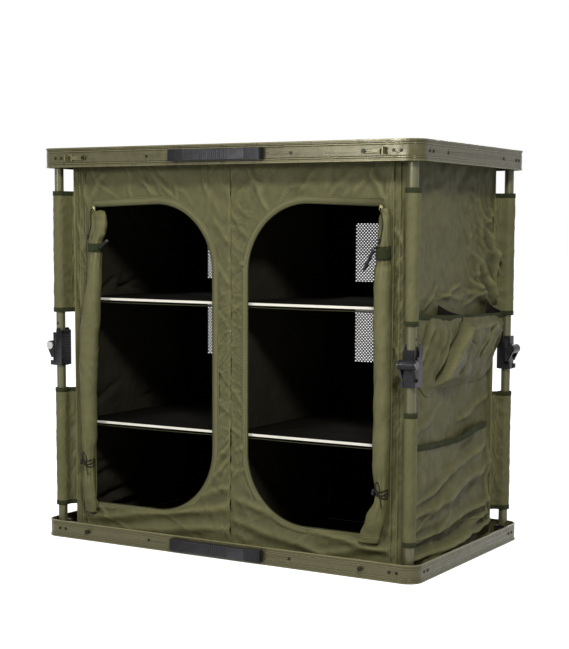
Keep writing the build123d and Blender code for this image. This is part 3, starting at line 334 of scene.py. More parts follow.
def circle(radius, count=10, lift=0.0):
    """A round section, whose middle is lifted off the path."""
    return [(radius * cos(2 * pi * i / count), lift + radius * sin(2 * pi * i / count)) for i in range(count)]


def strap(width, thickness):
    """A flat section with rounded edges, lying on its inner face."""
    w, t, r = width / 2, thickness, min(thickness / 2, 0.5)
    return [(-w + r, 0), (w - r, 0), (w, r), (w, t - r), (w - r, t), (-w + r, t), (-w, t - r), (-w, r)]


def smooth_line(points, per_span=8):
    """A rounded line through the points."""
    points = [Vector(p) for p in points]
    ends = [points[0] * 2 - points[1]] + points + [points[-1] * 2 - points[-2]]
    line = []
    for a, b, c, d in zip(ends, ends[1:], ends[2:], ends[3:]):
        for k in range(per_span):
            t = k / per_span
            line.append(0.5 * (2 * b + (c - a) * t + (2 * a - 5 * b + 4 * c - d) * t * t
                               + (3 * b - a - 3 * c + d) * t ** 3))
    line.append(points[-1])
    return line


def sheet(piece, with_pieces=()):
    """Hands back the piece as it is."""
    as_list(with_pieces)
    return piece


def ease(x):
    """A soft step from 0 to 1."""
    x = min(1.0, max(0.0, x))
    return x * x * (3 - 2 * x)


def hills(a, b, size, seed):
    """Soft noise from -1 to 1 with features of about the given size in millimetres."""
    return noise.noise(Vector((a / size, b / size, seed)))


def crease(a, b, size, degrees, seed, stretch=4.0):
    """A narrow ridge pattern from 0 to 1 that runs at an angle to the first axis."""
    c, s = cos(radians(degrees)), sin(radians(degrees))
    along, over = a * c + b * s, -a * s + b * c
    bend = 0.5 * hills(a, b, size * 2.5, seed + 7)
    value = noise.noise(Vector((along / (size * stretch), over / size + bend, seed)))
    return max(0.0, 1 - abs(value) * 5) ** 2


def fold_height(a, b, folds):
    """The height of listed folds. Each is (a0, b0, a1, b1, half width, height), highest at its middle."""
    total = 0.0
    for a0, b0, a1, b1, width, height in folds:
        da, db = a1 - a0, b1 - b0
        length = hypot(da, db)
        t = ((a - a0) * da + (b - b0) * db) / (length * length)
        if -0.25 < t < 1.25:
            off = ((a - a0) * db - (b - b0) * da) / length + 0.18 * width * sin(9 * t + a0)
            reach = width * (0.65 + 0.5 * sin(pi * min(1, max(0, t))))
            if abs(off) < 3 * reach:
                rise = ease((t + 0.25) / 0.45) * ease((1.25 - t) / 0.45)
                total += height * rise * exp(-(off / reach) ** 2)
    return total


# The cabinet's walls

def drape(x, z):
    """How far the cloth sags at the outer upper corner of a doorway."""
    return -5.5 * ease((abs(x) - 190) / 135) * exp(-((z - DOOR_HIGH) / 45) ** 2)


def door_ray(angle, grow):
    """How far the opening's edge is from its middle, in a direction, and the matching edge of the panel."""
    cx, cz = (DOOR_INNER + DOOR_OUTER) / 2, (DOOR_LOW + DOOR_HIGH) / 2
    dx, dz = cos(angle), sin(angle)
    half_x, half_z = (DOOR_OUTER - DOOR_INNER) / 2 + grow, (DOOR_HIGH - DOOR_LOW) / 2 + grow
    reach = min(half_x / abs(dx) if dx else 1e9, half_z / abs(dz) if dz else 1e9)
    radius = (DOOR_RADIUS if dx < 0 else DOOR_SMALL_RADIUS) + grow
    ex, ez = copysign(half_x - radius, dx), copysign(half_z - radius, dz)
    px, pz = dx * reach, dz * reach
    if abs(px) > abs(ex) and abs(pz) > abs(ez):
        b = dx * ex + dz * ez
        reach = b + sqrt(max(0.0, b * b - (ex * ex + ez * ez - radius * radius)))
        px, pz = dx * reach, dz * reach
    left, right, low, high = -cx, CABINET_X - cx, LOW - cz, HIGH - cz
    far = min((right if dx > 0 else left) / dx if dx else 1e9, (high if dz > 0 else low) / dz if dz else 1e9)
    return cx + px, cz + pz, cx + dx * far, cz + dz * far


def panel_angles():
    """The directions from a doorway's middle that the panel's mesh follows, with its corners and curves among them."""
    cx, cz = (DOOR_INNER + DOOR_OUTER) / 2, (DOOR_LOW + DOOR_HIGH) / 2
    angles = [2 * pi * i / PANEL_RAYS for i in range(PANEL_RAYS)]
    for x in (0, CABINET_X):
        for z in (LOW, HIGH):
            angles.append(atan2(z - cz, x - cx) % (2 * pi))
    for x, radius in ((DOOR_INNER, DOOR_RADIUS), (DOOR_OUTER, DOOR_SMALL_RADIUS)):
        for z in (DOOR_LOW, DOOR_HIGH):
            sx, sz = copysign(1, x - cx), copysign(1, z - cz)
            for k in range(7):
                t = pi / 2 * k / 6
                px, pz = x - sx * radius * (1 - cos(t)), z - sz * radius * (1 - sin(t))
                angles.append(atan2(pz - cz, px - cx) % (2 * pi))
    return sorted(set(round(a, 5) for a in angles))


# Folds seen in the photograph, as (x, z) ends in the panel's plane with half width and height, by side
FRONT_FOLDS = {
    -1: [(-210, 722, -172, 688, 5, 2.2), (-176, 724, -128, 682, 4.5, 2.6), (-60, 715, -20, 650, 7, 2.0),
         (-34, 640, -4, 600, 6, 2.6), (-300, 735, -330, 690, 6, 2.4), (-352, 730, -338, 668, 5, 2.6),
         (-366, 640, -345, 560, 5, 2.4), (-364, 520, -348, 430, 5, 2.0), (-366, 380, -350, 300, 5, 1.8),
         (-25, 354, 2, 322, 4.5, 2.2), (-30, 298, -2, 272, 5, 2.2), (-32, 180, -2, 212, 4.5, 2.4),
         (-36, 150, -2, 186, 4.0, 2.2), (-30, 470, -3, 440, 5, 1.8), (-30, 560, -2, 520, 5, 2.0),
         (-330, 40, -10, 92, 11, 5.5), (-310, 66, -90, 74, 7, 3.0), (-250, 22, -5, 50, 10, 5.0),
         (-120, 96, -8, 128, 8, 3.4), (-340, 90, -300, 50, 6, 2.4)],
    1: [(48, 728, 82, 662, 7, 3.2), (6, 650, 42, 604, 6, 2.4), (152, 690, 186, 730, 6, 2.2),
        (212, 686, 262, 728, 6, 2.4), (262, 690, 290, 724, 5, 1.6), (298, 730, 326, 684, 5, 3.0),
        (344, 728, 336, 686, 4.5, 2.6), (350, 626, 371, 596, 5, 2.6), (349, 510, 368, 548, 6, 2.8),
        (352, 470, 368, 500, 5, 2.2), (349, 560, 366, 578, 4.5, 1.8), (350, 420, 364, 380, 5, 1.6),
        (4, 582, 34, 552, 5, 2.0), (4, 470, 34, 490, 5, 1.8), (6, 320, 30, 290, 4.5, 1.8),
        (4, 246, 36, 226, 4.5, 2.2), (6, 198, 40, 220, 5, 2.4), (4, 150, 34, 172, 5, 2.2),
        (10, 112, 330, 44, 11, 5.5), (20, 66, 200, 26, 10, 5.0), (60, 118, 170, 70, 7, 3.0),
        (210, 28, 340, 52, 9, 4.0)],
}


def front_wrinkle(x, z, side):
    """How far the front panel stands out of its plane."""
    edge = ease((HIGH - z) / 30) * ease((z - LOW) / 16) * ease((CABINET_X - abs(x)) / 10)
    seed = 3.1 if side > 0 else 8.4
    out = 3.0 * hills(x, z, 100, seed) + 1.6 * hills(x, z, 32, seed + 2) + 0.8 * hills(x, z, 14, seed + 9)
    strip = ease((66 - abs(x)) / 26)
    out += strip * (2.2 * hills(0.8 * x + z, 0.5 * (side * z - x), 26, seed + 11)
                    + 1.5 * crease(side * x, z, 26, -30, seed + 12, 2.5))
    top = ease((z - 640) / 60) * ease((HIGH - z) / 30)
    out += top * 2.6 * crease(side * x, z, 34, 58, seed + 1, 4)
    out += ease((80 - abs(x)) / 40) * 1.5 * crease(side * x, z, 20, -48, seed, 3)
    out += ease((80 - abs(x)) / 40) * 0.9 * crease(side * x, z, 15, 35, seed + 6, 3)
    out += ease((140 - z) / 80) * 1.6 * crease(x, z, 30, 12 * side, seed + 4, 6)
    out += ease((abs(x) - 330) / 15) * 1.8 * crease(side * x, z, 15, 70, seed + 5, 5)
    out += 1.45 * fold_height(x, z, FRONT_FOLDS[side])
    return edge * out


def front_panel(side):
    """Half of the front, as rings of points from the doorway's edge out to the panel's."""
    angles = panel_angles()
    points = []
    for angle in angles:
        x0, z0, x1, z1 = door_ray(angle, 0)
        for j in range(PANEL_STEPS):
            t = (j / (PANEL_STEPS - 1)) ** 1.15
            x, z = side * (x0 + (x1 - x0) * t), z0 + (z1 - z0) * t
            out = front_wrinkle(x, z, side) * ease(t * 4 + 0.25)
            out -= 2.0 * exp(-(x / 3.0) ** 2) * ease((HIGH - z) / 20)
            points.append((x, -CABINET_Y - out, z + drape(x, z)))
    faces = [(a, d, c, b) if side > 0 else (b, c, d, a) for a, b, c, d in grid_faces(len(angles), PANEL_STEPS, True)]
    panel = make(f"front_cloth_{SIDE[side]}", points, faces, [OLIVE, LINING])
    return fold_down(thicken(panel, PANEL_CLOTH, -1.0, 1))


def door_outline(side, grow):
    """Points along the opening's edge, in order from outer top round to outer bottom."""
    inner, outer = DOOR_INNER - grow, DOOR_OUTER + grow
    low, high = DOOR_LOW - grow, DOOR_HIGH + grow
    r = DOOR_RADIUS + grow
    path = [(outer - 8, high)]
    path += [(inner + r - r * sin(t), high - r + r * cos(t)) for t in linspace(0, pi / 2, 26)]
    path += [(inner, z) for z in linspace(high - r - 12, low + r + 12, 30)]
    path += [(inner + r - r * cos(t), low + r - r * sin(t)) for t in linspace(0, pi / 2, 26)]
    path += [(outer - 8, low)]
    return [(side * x, -CABINET_Y, z + drape(x, z)) for x, z in path]


def zip_run(side):
    """The hem with its two rows of stitches and the zip's teeth round the doorway, and the seams beside the roll."""
    name = SIDE[side]
    facing = (0, -1, 0)
    hem = ribbon(f"door_hem_{name}", door_outline(side, 6.5), strap(13, 2.2), HEM)
    teeth = ribbon(f"zip_teeth_{name}", door_outline(side, -0.8), circle(1.2, 8, 1.0), ZIP_TAPE)
    rows = [stitches(f"hem_stitch_{place}_{name}", [(x, y - 2.1, z) for x, y, z in door_outline(side, grow)], facing,
                     THREAD)
            for place, grow in (("inner", 2.6), ("outer", 10.8))]
    pieces = [hem, teeth] + rows
    for number, x in enumerate((345, 358)):
        line = [(side * x, -CABINET_Y - max(0, front_wrinkle(side * x, z, side)) * 0.7 - 0.6, z)
                for z in linspace(LOW + 14, HIGH - 16, 90)]
        pieces.append(ribbon(f"strip_seam_{number}_{name}", line, circle(0.9, 8, 0.2), OLIVE))
        beside = [(x + side * 3, y - 0.1, z) for x, y, z in line]
        pieces.append(stitches(f"strip_stitch_{number}_{name}", beside, facing, THREAD))
    return [fold_down(p) for p in pieces]


fronts = [front_panel(side) for side in (-1, 1)]
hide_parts("cabinet_front")
hems = [zip_run(side) for side in (-1, 1)]
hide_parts("zip_tracks")
for cloth, trims in zip(fronts, hems):
    sheet(cloth, with_pieces=trims)


# Folds of a side panel, as (y, z) ends with half width and height
SIDE_FOLDS = [(186, 468, 89, 522, 8, 6.0), (188, 476, 150, 528, 6, 7.0), (189, 500, 176, 590, 6, 6.0),
              (188, 480, 120, 560, 7, 4.0), (182, 610, 128, 655, 6, 3.4), (186, 660, 140, 640, 6, 2.6),
              (120, 500, 60, 508, 5, 3.0), (27, 520, -50, 500, 5, 2.6), (186, 560, 150, 620, 6, 4.0),
              (-60, 505, 30, 495, 4, 1.8), (52, 480, 120, 505, 5, 3.4), (-120, 486, -70, 520, 6, 2.6),
              (-142, 106, 150, 163, 12, 5.0), (-135, 133, 120, 205, 9, 3.4), (-141, 58, 161, 92, 10, 5.0),
              (-165, 30, 160, 42, 8, 9.0), (-140, 20, 93, 17, 6, 8.0), (-100, 24, 170, 66, 8, 5.0),
              (-170, 250, -60, 300, 9, 2.6), (40, 262, 170, 300, 8, 2.4), (150, 60, 176, 200, 7, 2.6)]


def side_wrinkle(y, z, seed=PANEL_SEED):
    """How far a side panel stands out of its plane."""
    edge = ease((HIGH - z) / 40) * ease((z - LOW) / 10) * ease((CABINET_Y - abs(y)) / 12)
    out = 5.0 * hills(y, z, 120, seed) + 4.0 * hills(y, z, 44, seed + 3) + 1.6 * hills(y, z, 18, seed + 8)
    rear = ease((y - 20) / 90) * ease((z - 470) / 60) * ease((740 - z) / 70)
    out += rear * (6.5 * crease(y, z, 34, -58, seed + 1, 4)
                   + 3.4 * crease(y, z, 22, -40, seed + 6, 3))
    out += ease((230 - z) / 120) * (3.6 * crease(y, z, 44, 24, seed + 2, 6)
                                    + 1.8 * hills(y * 0.8 + z, z * 1.5 - 0.6 * y, 60, seed + 10))
    out += 2.5 * fold_height(y, z, SIDE_FOLDS)
    mouth_calm = 0.8 * exp(-((z - 474) / 18) ** 2) * ease((y + 130) / 40)
    return edge * out * (1 - mouth_calm)


def side_cloth(side):
    """A side panel. The right one has a seam above its pocket."""
    seed = PANEL_SEED if side > 0 else 33.0

    def place(u, v):
        y, z = -CABINET_Y + 2 * CABINET_Y * u, LOW + (HIGH - LOW) * v
        out = side_wrinkle(y, z, seed)
        if side > 0:
            out += 1.3 * exp(-((z - 500 - 2 * sin(y / 30)) / 2.2) ** 2)
        return (side * (CABINET_X - 0.2 + out), y, z)

    cloth = surface(f"side_cloth_{SIDE[side]}", 110, 210, place, [OLIVE, INNER])
    if side < 0:
        cloth.data.flip_normals()
    return fold_down(thicken(cloth, PANEL_CLOTH, -1.0, 1))


sides = [side_cloth(side) for side in (-1, 1)]
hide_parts("cabinet_sides")
for cloth in sides:
    sheet(cloth)

WINDOWS = [(side * CABINET_X / 2, z) for side in (-1, 1) for z in WINDOW_HEIGHTS]


def lines(low, high, stops, step):
    """Grid lines from low to high that pass through every stop."""
    marks = sorted([low, high] + stops)
    result = [low]
    for a, b in zip(marks, marks[1:]):
        count = max(1, round((b - a) / step))
        result += [a + (b - a) * (k + 1) / count for k in range(count)]
    return result


def back_cloth():
    """The back panel, with holes for its windows."""
    xs = lines(-CABINET_X, CABINET_X, sorted({x + s * WINDOW_HALF_X for x, _ in WINDOWS for s in (-1, 1)}), 9)
    zs = lines(LOW, HIGH, sorted({z + s * WINDOW_HALF_Z for _, z in WINDOWS for s in (-1, 1)}), 9)

    def window_distance(x, z):
        return min(max(abs(x - wx) - WINDOW_HALF_X, abs(z - wz) - WINDOW_HALF_Z) for wx, wz in WINDOWS)

    points = []
    for x in xs:
        for z in zs:
            edge = ease((HIGH - z) / 50) * ease((z - LOW) / 25) * ease((CABINET_X - abs(x)) / 22)
            edge *= ease(window_distance(x, z) / 30)
            out = 3.4 * hills(x, z, 140, 51.0) + 1.3 * hills(x, z, 45, 52.0)
            out += ease((300 - z) / 120) * 3.0 * crease(x, z, 44, 24, 55.0, 6)
            out += ease((z - 640) / 60) * 2.6 * crease(x, z, 36, 66, 56.0, 5)
            points.append((x, CABINET_Y + edge * out, z))
    faces = []
    for a, b, c, d in grid_faces(len(xs), len(zs)):
        (x0, _, z0), (x1, _, z1) = points[a], points[c]
        if window_distance((x0 + x1) / 2, (z0 + z1) / 2) > 0:
            faces.append((a, d, c, b))
    cloth = make("back_cloth", points, faces, [OLIVE, LINING])
    return fold_down(thicken(cloth, PANEL_CLOTH, -1.0, 1))


back = back_cloth()
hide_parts("cabinet_back")
sheet(back)


# The outline of one hole in a net, round its middle
HOLE = ((-1.8, -0.6), (0, -1.4), (1.8, -0.6), (1.8, 0.6), (0, 1.4), (-1.8, 0.6))


def net_window(x, z, index):
    """A window's net, with staggered holes, in a sewn border."""
    columns, rows = 35, 34
    wide, high = 2 * WINDOW_HALF_X / columns, 2 * WINDOW_HALF_Z / rows
    points, faces, known = [], [], {}

    def vertex(px, pz):
        key = (round(px * 4), round(pz * 4))
        if key not in known:
            sag = 1.8 * hills(px, pz, 90, 61.0)
            sag *= ease((WINDOW_HALF_X - abs(px)) / 20) * ease((WINDOW_HALF_Z - abs(pz)) / 20)
            known[key] = len(points)
            points.append((x + px, CABINET_Y - 0.3 + sag, z + pz))
        return known[key]

    for row in range(rows):
        middle = -WINDOW_HALF_Z + (row + 0.5) * high
        low, up = middle - high / 2, middle + high / 2
        for column in range(columns + row % 2):
            cx = -WINDOW_HALF_X + (column + 0.5 - (row % 2) / 2) * wide
            left, right = max(-WINDOW_HALF_X, cx - wide / 2), min(WINDOW_HALF_X, cx + wide / 2)
            if right - left < 0.7 * wide:
                faces.append([vertex(*p) for p in ((left, low), (right, low), (right, up), (left, up))])
                continue
            outer = [vertex(*p) for p in ((left, low), (cx, low), (right, low), (right, up), (cx, up), (left, up))]
            hole = [vertex(cx + a, middle + b) for a, b in HOLE]
            for k in range(6):
                m = (k + 1) % 6
                faces.append((outer[k], outer[m], hole[m], hole[k]))
    net = fold_down(thicken(make(f"net_{index}", points, faces, NET, smooth=False), 0.3))
    corners = [(x + a * (WINDOW_HALF_X + 4), CABINET_Y + 0.3, z + b * (WINDOW_HALF_Z + 4))
               for a, b in CORNERS]
    border = ribbon(f"net_border_{index}", corners, strap(9, 1.4), BINDING, normals=(0, 1, 0), closed=True)
    return net, fold_down(border)


nets = [net_window(x, z, i) for i, (x, z) in enumerate(WINDOWS)]
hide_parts("back_nets")
for net, border in nets:
    sheet(net, [border])

divider = surface("divider_cloth", 46, 90, lambda u, v: (
    1.6 * hills(u * 384, v * 770, 120, 71.0) * ease(u * 8) * ease((1 - u) * 8), -190 + 380 * u,
    LOW + (HIGH - LOW) * v), [INNER])
fold_down(thicken(divider, PANEL_CLOTH, 0.0))
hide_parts("centre_divider")
sheet(divider)


# Cabinet edges: piping up the corners and a hem along the top and bottom

for index, (sx, sy) in enumerate(CORNERS):
    path = [(sx * (CABINET_X + 0.3), sy * (CABINET_Y + 0.3), z) for z in linspace(LOW, HIGH, 40)]
    piping = ribbon(f"corner_piping_{index}", path, circle(1.7, 10), OLIVE, normals=(sx, sy, 0))
    fold_down(piping)

for index, z in enumerate((LOW + 5, HIGH - 7)):
    for name, sy in (("front", -1), ("back", 1)):
        hoop = [(x, sy * (CABINET_Y + 0.6), z) for x in linspace(-CABINET_X, CABINET_X, 40)]
        fold_down(ribbon(f"{name}_hem_{index}", hoop, strap(10, 1.4), OLIVE, normals=(0, sy, 0)))
    for sx in (-1, 1):
        hoop = [(sx * (CABINET_X + 0.6), y, z) for y in linspace(-CABINET_Y, CABINET_Y, 30)]
        fold_down(ribbon(f"side_hem_{index}_{SIDE[sx]}", hoop, strap(10, 1.4), OLIVE, normals=(sx, 0, 0)))


EDGE_ANGLE, RIM_EDGE_ANGLE = 32, 25


# Shelves: the CAD boards with the cloth that hangs a little below each front edge

def dress(node, material, bevel, angle=EDGE_ANGLE):
    """Shows a CAD node with its edges softened."""
    piece = nodes[node]
    piece.data.materials.clear()
    piece.data.materials.append(material)
    normals = piece.data.attributes.get("custom_normal")
    if normals:
        piece.data.attributes.remove(normals)
    for polygon in piece.data.polygons:
        polygon.use_smooth = True
        polygon.material_index = 0
    weld = piece.modifiers.new("weld", "WELD")
    weld.merge_threshold = 0.00001
    soften = piece.modifiers.new("soften", "BEVEL")
    soften.width = bevel * MM
    soften.segments = 2
    soften.limit_method = "ANGLE"
    soften.angle_limit = radians(angle)
    soften.harden_normals = True
    return piece


def shelf_cloth(level, z, side):
    """The cover on a board, the cloth slung below it and the welt along its front edge."""
    name, body, boards = f"{level}_{SIDE[side]}", f"shelf_level_{level}", [f"{level}_shelf_boards"]
    width = SHELF_OUTER - SHELF_INNER

    def hang(u):
        """How far the cloth hangs at its lowest."""
        return 3.0 + 4.0 * sin(pi * u) + 1.6 * hills(SHELF_INNER + width * u, z, 50, 83.0 + side)

    def cover(u, v):
        x, y = SHELF_INNER + width * u, SHELF_FRONT + SHELF_DEPTH * v
        return (side * x, y, z + 0.35 + 0.3 * hills(x, y, 60, 81.0))

    def sling(u, v):
        return (side * (SHELF_INNER + width * u), -183.2 + 366 * v, z - 5.6 - hang(u) * sin(pi * min(v, 0.5)))

    top = surface(f"shelf_cover_{name}", 20, 20, cover, [LINING])
    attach(thicken(top, 0.5, 1.0), body)
    sheet(top)
    below = surface(f"shelf_sling_{name}", 40, 16, sling, [LINING])
    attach(thicken(below, 0.8, 0.0), body)
    sheet(below)
    welt = [(side * (SHELF_INNER + width * u), -183.6, z - 5.9 - hang(u) * 0.25 - 1.6) for u in linspace(0, 1, 40)]
    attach(ribbon(f"shelf_welt_{name}", welt, circle(0.8, 8), ZIP_TAPE), body)


for level, z in (("upper", UPPER_SHELF), ("lower", LOWER_SHELF)):
    dress(f"{level}_shelf_boards", SHELF, 0.8)
    for side in (-1, 1):
        shelf_cloth(level, z, side)


# Rolled doors and their ties

def between(table, z):
    """Values between the rows of a table of (z, value, value...)."""
    if z <= table[0][0]:
        return table[0][1:]
    for low, high in zip(table, table[1:]):
        if z <= high[0]:
            t = ease((z - low[0]) / (high[0] - low[0]))
            return tuple(a + (b - a) * t for a, b in zip(low[1:], high[1:]))
    return table[-1][1:]


# Height, distance from the middle, half width and half depth of each roll
LEFT_ROLL = [
    (50, 330, 12, 6), (62, 330, 15, 7), (84, 331, 16.5, 9), (118, 332, 15, 11), (142, 332, 11.5, 10.5),
    (154, 332, 10.6, 10.4), (168, 330, 12.8, 12), (201, 328, 17, 15.5), (280, 326, 19, 17), (401, 322, 22, 18),
    (470, 316, 20, 17.5), (531, 311, 14.5, 15), (560, 310, 13.5, 14), (577, 309, 12.8, 13), (596, 308, 14.5, 13),
    (615, 304, 20, 12), (632, 302, 22, 11), (648, 302, 19, 8), (657, 303, 13, 4.5)]
RIGHT_ROLL = [
    (58, 303, 21, 7), (70, 307, 21.5, 8), (104, 319, 18.5, 10.5), (140, 332, 12, 11), (152, 334, 10.8, 10.6),
    (166, 334, 13, 12), (209, 334, 16.5, 15.5), (322, 333, 15.8, 15.5), (470, 333, 16.2, 15.5), (552, 333, 15.8, 15),
    (566, 332, 12.4, 12.6), (590, 332, 11.8, 12.4), (610, 332, 11, 11), (640, 331, 10.5, 9), (660, 330, 7, 5)]


def roll(side, table, seed):
    """A door rolled into a loose spiral, gathered at its ties."""
    turns, per_turn = (4.5 if side > 0 else 4.1), 24
    low, high = table[0][0], table[-1][0]
    name = SIDE[side]

    def place(u, v):
        z = low + (high - low) * v
        middle, half_x, half_y = between(table, z)
        angle = pi / 2 - 2 * pi * turns * u
        share = 1 - 0.8 * u
        near_tie = exp(-((z - 150) / 44) ** 2) + 0.9 * exp(-((z - UPPER_TIE_Z) / 46) ** 2)
        gather = 1 + 0.13 * near_tie * cos(9 * angle + 5 * hills(z, 0, 90, seed)) \
            + 0.09 * hills(10 * cos(angle) * 4, z, 46, seed + 1) \
            + 0.07 * crease(cos(angle) * 16, z, 14, 74, seed + 2, 8)
        radius = share * gather
        centre_y = -CABINET_Y - ROLL_GAP - half_y
        skew = 1.2 * sin(z / 47 + seed)
        return (side * middle + skew + side * half_x * radius * cos(angle),
                centre_y + half_y * radius * sin(angle), z + 2.0 * u * sin(angle))

    door = surface(f"rolled_door_{name}", int(turns * per_turn), 150, place, [OLIVE])
    reach = 0.9 / turns
    for number, v in enumerate((0.004, 0.018)):
        line = [Vector(place(u, v)) for u in linspace(0.02, reach, 30)]
        middle = Vector((side * between(table, low + 4)[0], -CABINET_Y - ROLL_GAP - table[0][3], line[0].z))
        outs = [tuple((p - middle).normalized()) for p in line]
        raised = [p + Vector(o) * 0.5 for p, o in zip(line, outs)]
        fold_trim(ribbon(f"roll_hem_{number}_{name}", raised, circle(0.6, 6), HEM, normals=outs))
    return sheet(fold_trim(thicken(door, 1.1, 0.0)))


rolls = [roll(-1, LEFT_ROLL, 91.0), roll(1, RIGHT_ROLL, 95.0)]
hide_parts("rolled_doors")


def band(name, side, z, height, table):
    """A tie round a roll."""
    middle, half_x, half_y = between(table, z)

    def place(u, v):
        angle = 2 * pi * u
        grow = 1.6 + 0.5 * sin(3 * angle) + 0.3 * cos(pi * v)
        return (side * middle + (half_x + grow) * cos(angle),
                -CABINET_Y - ROLL_GAP - half_y + (half_y + grow) * sin(angle),
                z + (v - 0.5) * height + sin(angle))

    return fold_trim(thicken(surface(name, 40, 6, place, [BINDING], wrap_u=True), 1.1, 0.0))


def toggle(name, start, end, radius):
    """A rounded bar with a groove round its middle."""
    start, end = Vector(start), Vector(end)
    axis = end - start
    side = axis.orthogonal().normalized()
    other = axis.normalized().cross(side)

    def place(u, v):
        angle = 2 * pi * u
        cap = min(v, 1 - v) * axis.length
        r = radius * (1 if cap >= radius else sqrt(max(0.0, 1 - (1 - cap / radius) ** 2)))
        r *= 1 - 0.12 * exp(-((v - 0.5) * 12) ** 2)
        return tuple(start + axis * v + side * r * cos(angle) + other * r * sin(angle))

    return fold_trim(surface(name, 18, 26, place, [PLASTIC], wrap_u=True))


def spline_line(points):
    """The line of the NURBS spline that has these control points."""
    route = bpy.data.curves.new("route", "CURVE")
    route.dimensions = "3D"
    route.resolution_u = 12
    spline = route.splines.new("NURBS")
    spline.points.add(len(points) - 1)
    for point, place in zip(spline.points, points):
        point.co = (*place, 1)
    spline.order_u = 3
    spline.use_endpoint_u = True
    holder = bpy.data.objects.new("route", route)
    mesh = bpy.data.meshes.new_from_object(holder)
    line = [vertex.co.copy() for vertex in mesh.vertices]
    bpy.data.objects.remove(holder)
    bpy.data.curves.remove(route)
    bpy.data.meshes.remove(mesh)
    return line


def thread(name, points, radius):
    """A thin cord or loop that is tight on a tie."""
    fold_trim(ribbon(name, smooth_line(points), circle(radius, 8), CORD, normals=(0.3, -1, 0.2)))


def free_cord(name, points, radius, normals, tip_name=None, **said):
    """A cord that hangs or lies free, along the spline that has the points as its control points, and its tip."""
    line = spline_line(points)
    cord = fold_trim(ribbon(name, line, circle(radius, 10), CORD, normals=normals))
    if tip_name:
        along = (line[-1] - line[-4]).normalized()
        said["with_pieces"] = [toggle(tip_name, line[-1] - along * 1.5, line[-1] + along * 11.5, 2.5)]
    length = sum((b - a).length for a, b in zip(line, line[1:])) * MM
    print(f"{name}: {length * 1000:.1f} mm long")
    tuple(v * MM for v in line[0])
    [tuple(v * MM for v in p) for p in line]
    return cord, said.get("with_pieces")


ties = [band("upper_tie_left", -1, UPPER_TIE_Z, 16, LEFT_ROLL),
        band("upper_tie_right", 1, UPPER_TIE_Z - 3, 24, RIGHT_ROLL)]
toggle("upper_toggle_left", (-291, -216, 585), (-268, -221, 600), 3.6)
thread("upper_loop_left", [(-298, -213, 588), (-293, -217, 586), (-289, -216, 587)], 0.9)
toggle("upper_toggle_right", (322, -222, 590), (303, -226, 550), 3.2)
thread("upper_loop_right", [(326, -219, 594), (323, -223, 592), (321, -222, 588)], 1.0)
for side, table in ((-1, LEFT_ROLL), (1, RIGHT_ROLL)):
    name = SIDE[side]
    middle, half_x, half_y = between(table, LOWER_TIE_Z)
    for turn, z in enumerate((LOWER_TIE_Z - 5, LOWER_TIE_Z, LOWER_TIE_Z + 5)):
        knot = [(side * middle + (half_x + 0.9) * cos(t), -CABINET_Y - ROLL_GAP - half_y + (half_y + 0.9) * sin(t),
                 z + 2.5 * sin(2 * t + turn)) for t in linspace(0, 2 * pi, 30)]
        thread(f"lower_tie_{turn}_{name}", knot, 1.1)
    front = -CABINET_Y - 3.5 - 2 * half_y
    for part, far_end, lay, points in (
            ("bow", "object", "loose", [(-2, 0, 152), (-9, -2.5, 165), (-3, -2, 177), (3, -1.5, 162), (0, 0, 152)]),
            ("ends", "bare", "hanging", [(-9, 0, 158), (-2, -1, 152), (4, -1.5, 143), (7, -2, 128)])):
        route = [(side * middle + x, front + y, z) for x, y, z in points]
        free_cord(f"lower_tie_{part}_{name}", route, 1.0, (0.3, -1, 0.2), far_end=far_end, stiffness="limp", lay=lay)
    toggle(f"lower_toggle_{name}", (side * middle - 13, front + 4, 160), (side * middle - 15, front + 3, 148), 3.2)
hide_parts("door_ties")


# Zip sliders and pull cords

def slider(side):
    """A zip's slider and the eye that its pull cord hangs from."""
    name = SIDE[side]
    x, y, z = side * SLIDER_X, -CABINET_Y - 2.0, SLIDER_Z
    body = [(-4, 0), (4, 0), (4.2, 2.6), (2.6, 4.0), (-2.6, 4.0), (-4.2, 2.6)]
    path = [(x, y, z + 5.5), (x, y, z + 2), (x, y, z - 2), (x, y, z - 5.5)]
    piece = fold_trim(ribbon(f"slider_{name}", path, body, ZIP_METAL))
    loop = [(x + 3 * cos(t), y - 4.4 - 1.2 * sin(t), z - 1 - 3.5 * sin(t) * 0.6)
            for t in linspace(0, pi, 10)]
    fold_trim(ribbon(f"slider_eye_{name}", loop, circle(0.8, 8), ZIP_METAL, normals=(0, 0, 1)))
    return piece


sliders = [slider(side) for side in (-1, 1)]
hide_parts("zip_sliders")

# The control points of each pull cord's line
PULLS = {
    "left": [(-322, -198.6, 661), (-318.5, -209.5, 659.5), (-311.5, -219, 651.5), (-305, -226, 638.5),
             (-303, -228.5, 624.5), (-309, -228.6, 611)],
    "right": [(322, -198.6, 661), (326.5, -210, 660), (334.5, -219.5, 650.5), (341, -226.5, 637), (342, -228.8, 622.5),
              (337.5, -228.5, 608)],
}
tips = []
for name, points in PULLS.items():
    cord, pieces = free_cord(f"pull_cord_{name}", points, 1.25, (1, 0, 0), f"pull_tip_{name}", far_end="fitting",
                             stiffness="medium", lay="hanging")
    tips += pieces
    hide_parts(f"zip_pull_{name}")
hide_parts("zip_pull_tips")


# Sleeves round the legs, and the flaps that tie them to the cabinet's corners

LEGS = {"front_left": (-1, -1), "front_right": (1, -1), "rear_right": (1, 1), "rear_left": (-1, 1)}
SLEEVE_ENDS = {"lower": (63.0, 302.0), "upper": (456.0, 696.0)}
SLEEVE_CORE = 9.9

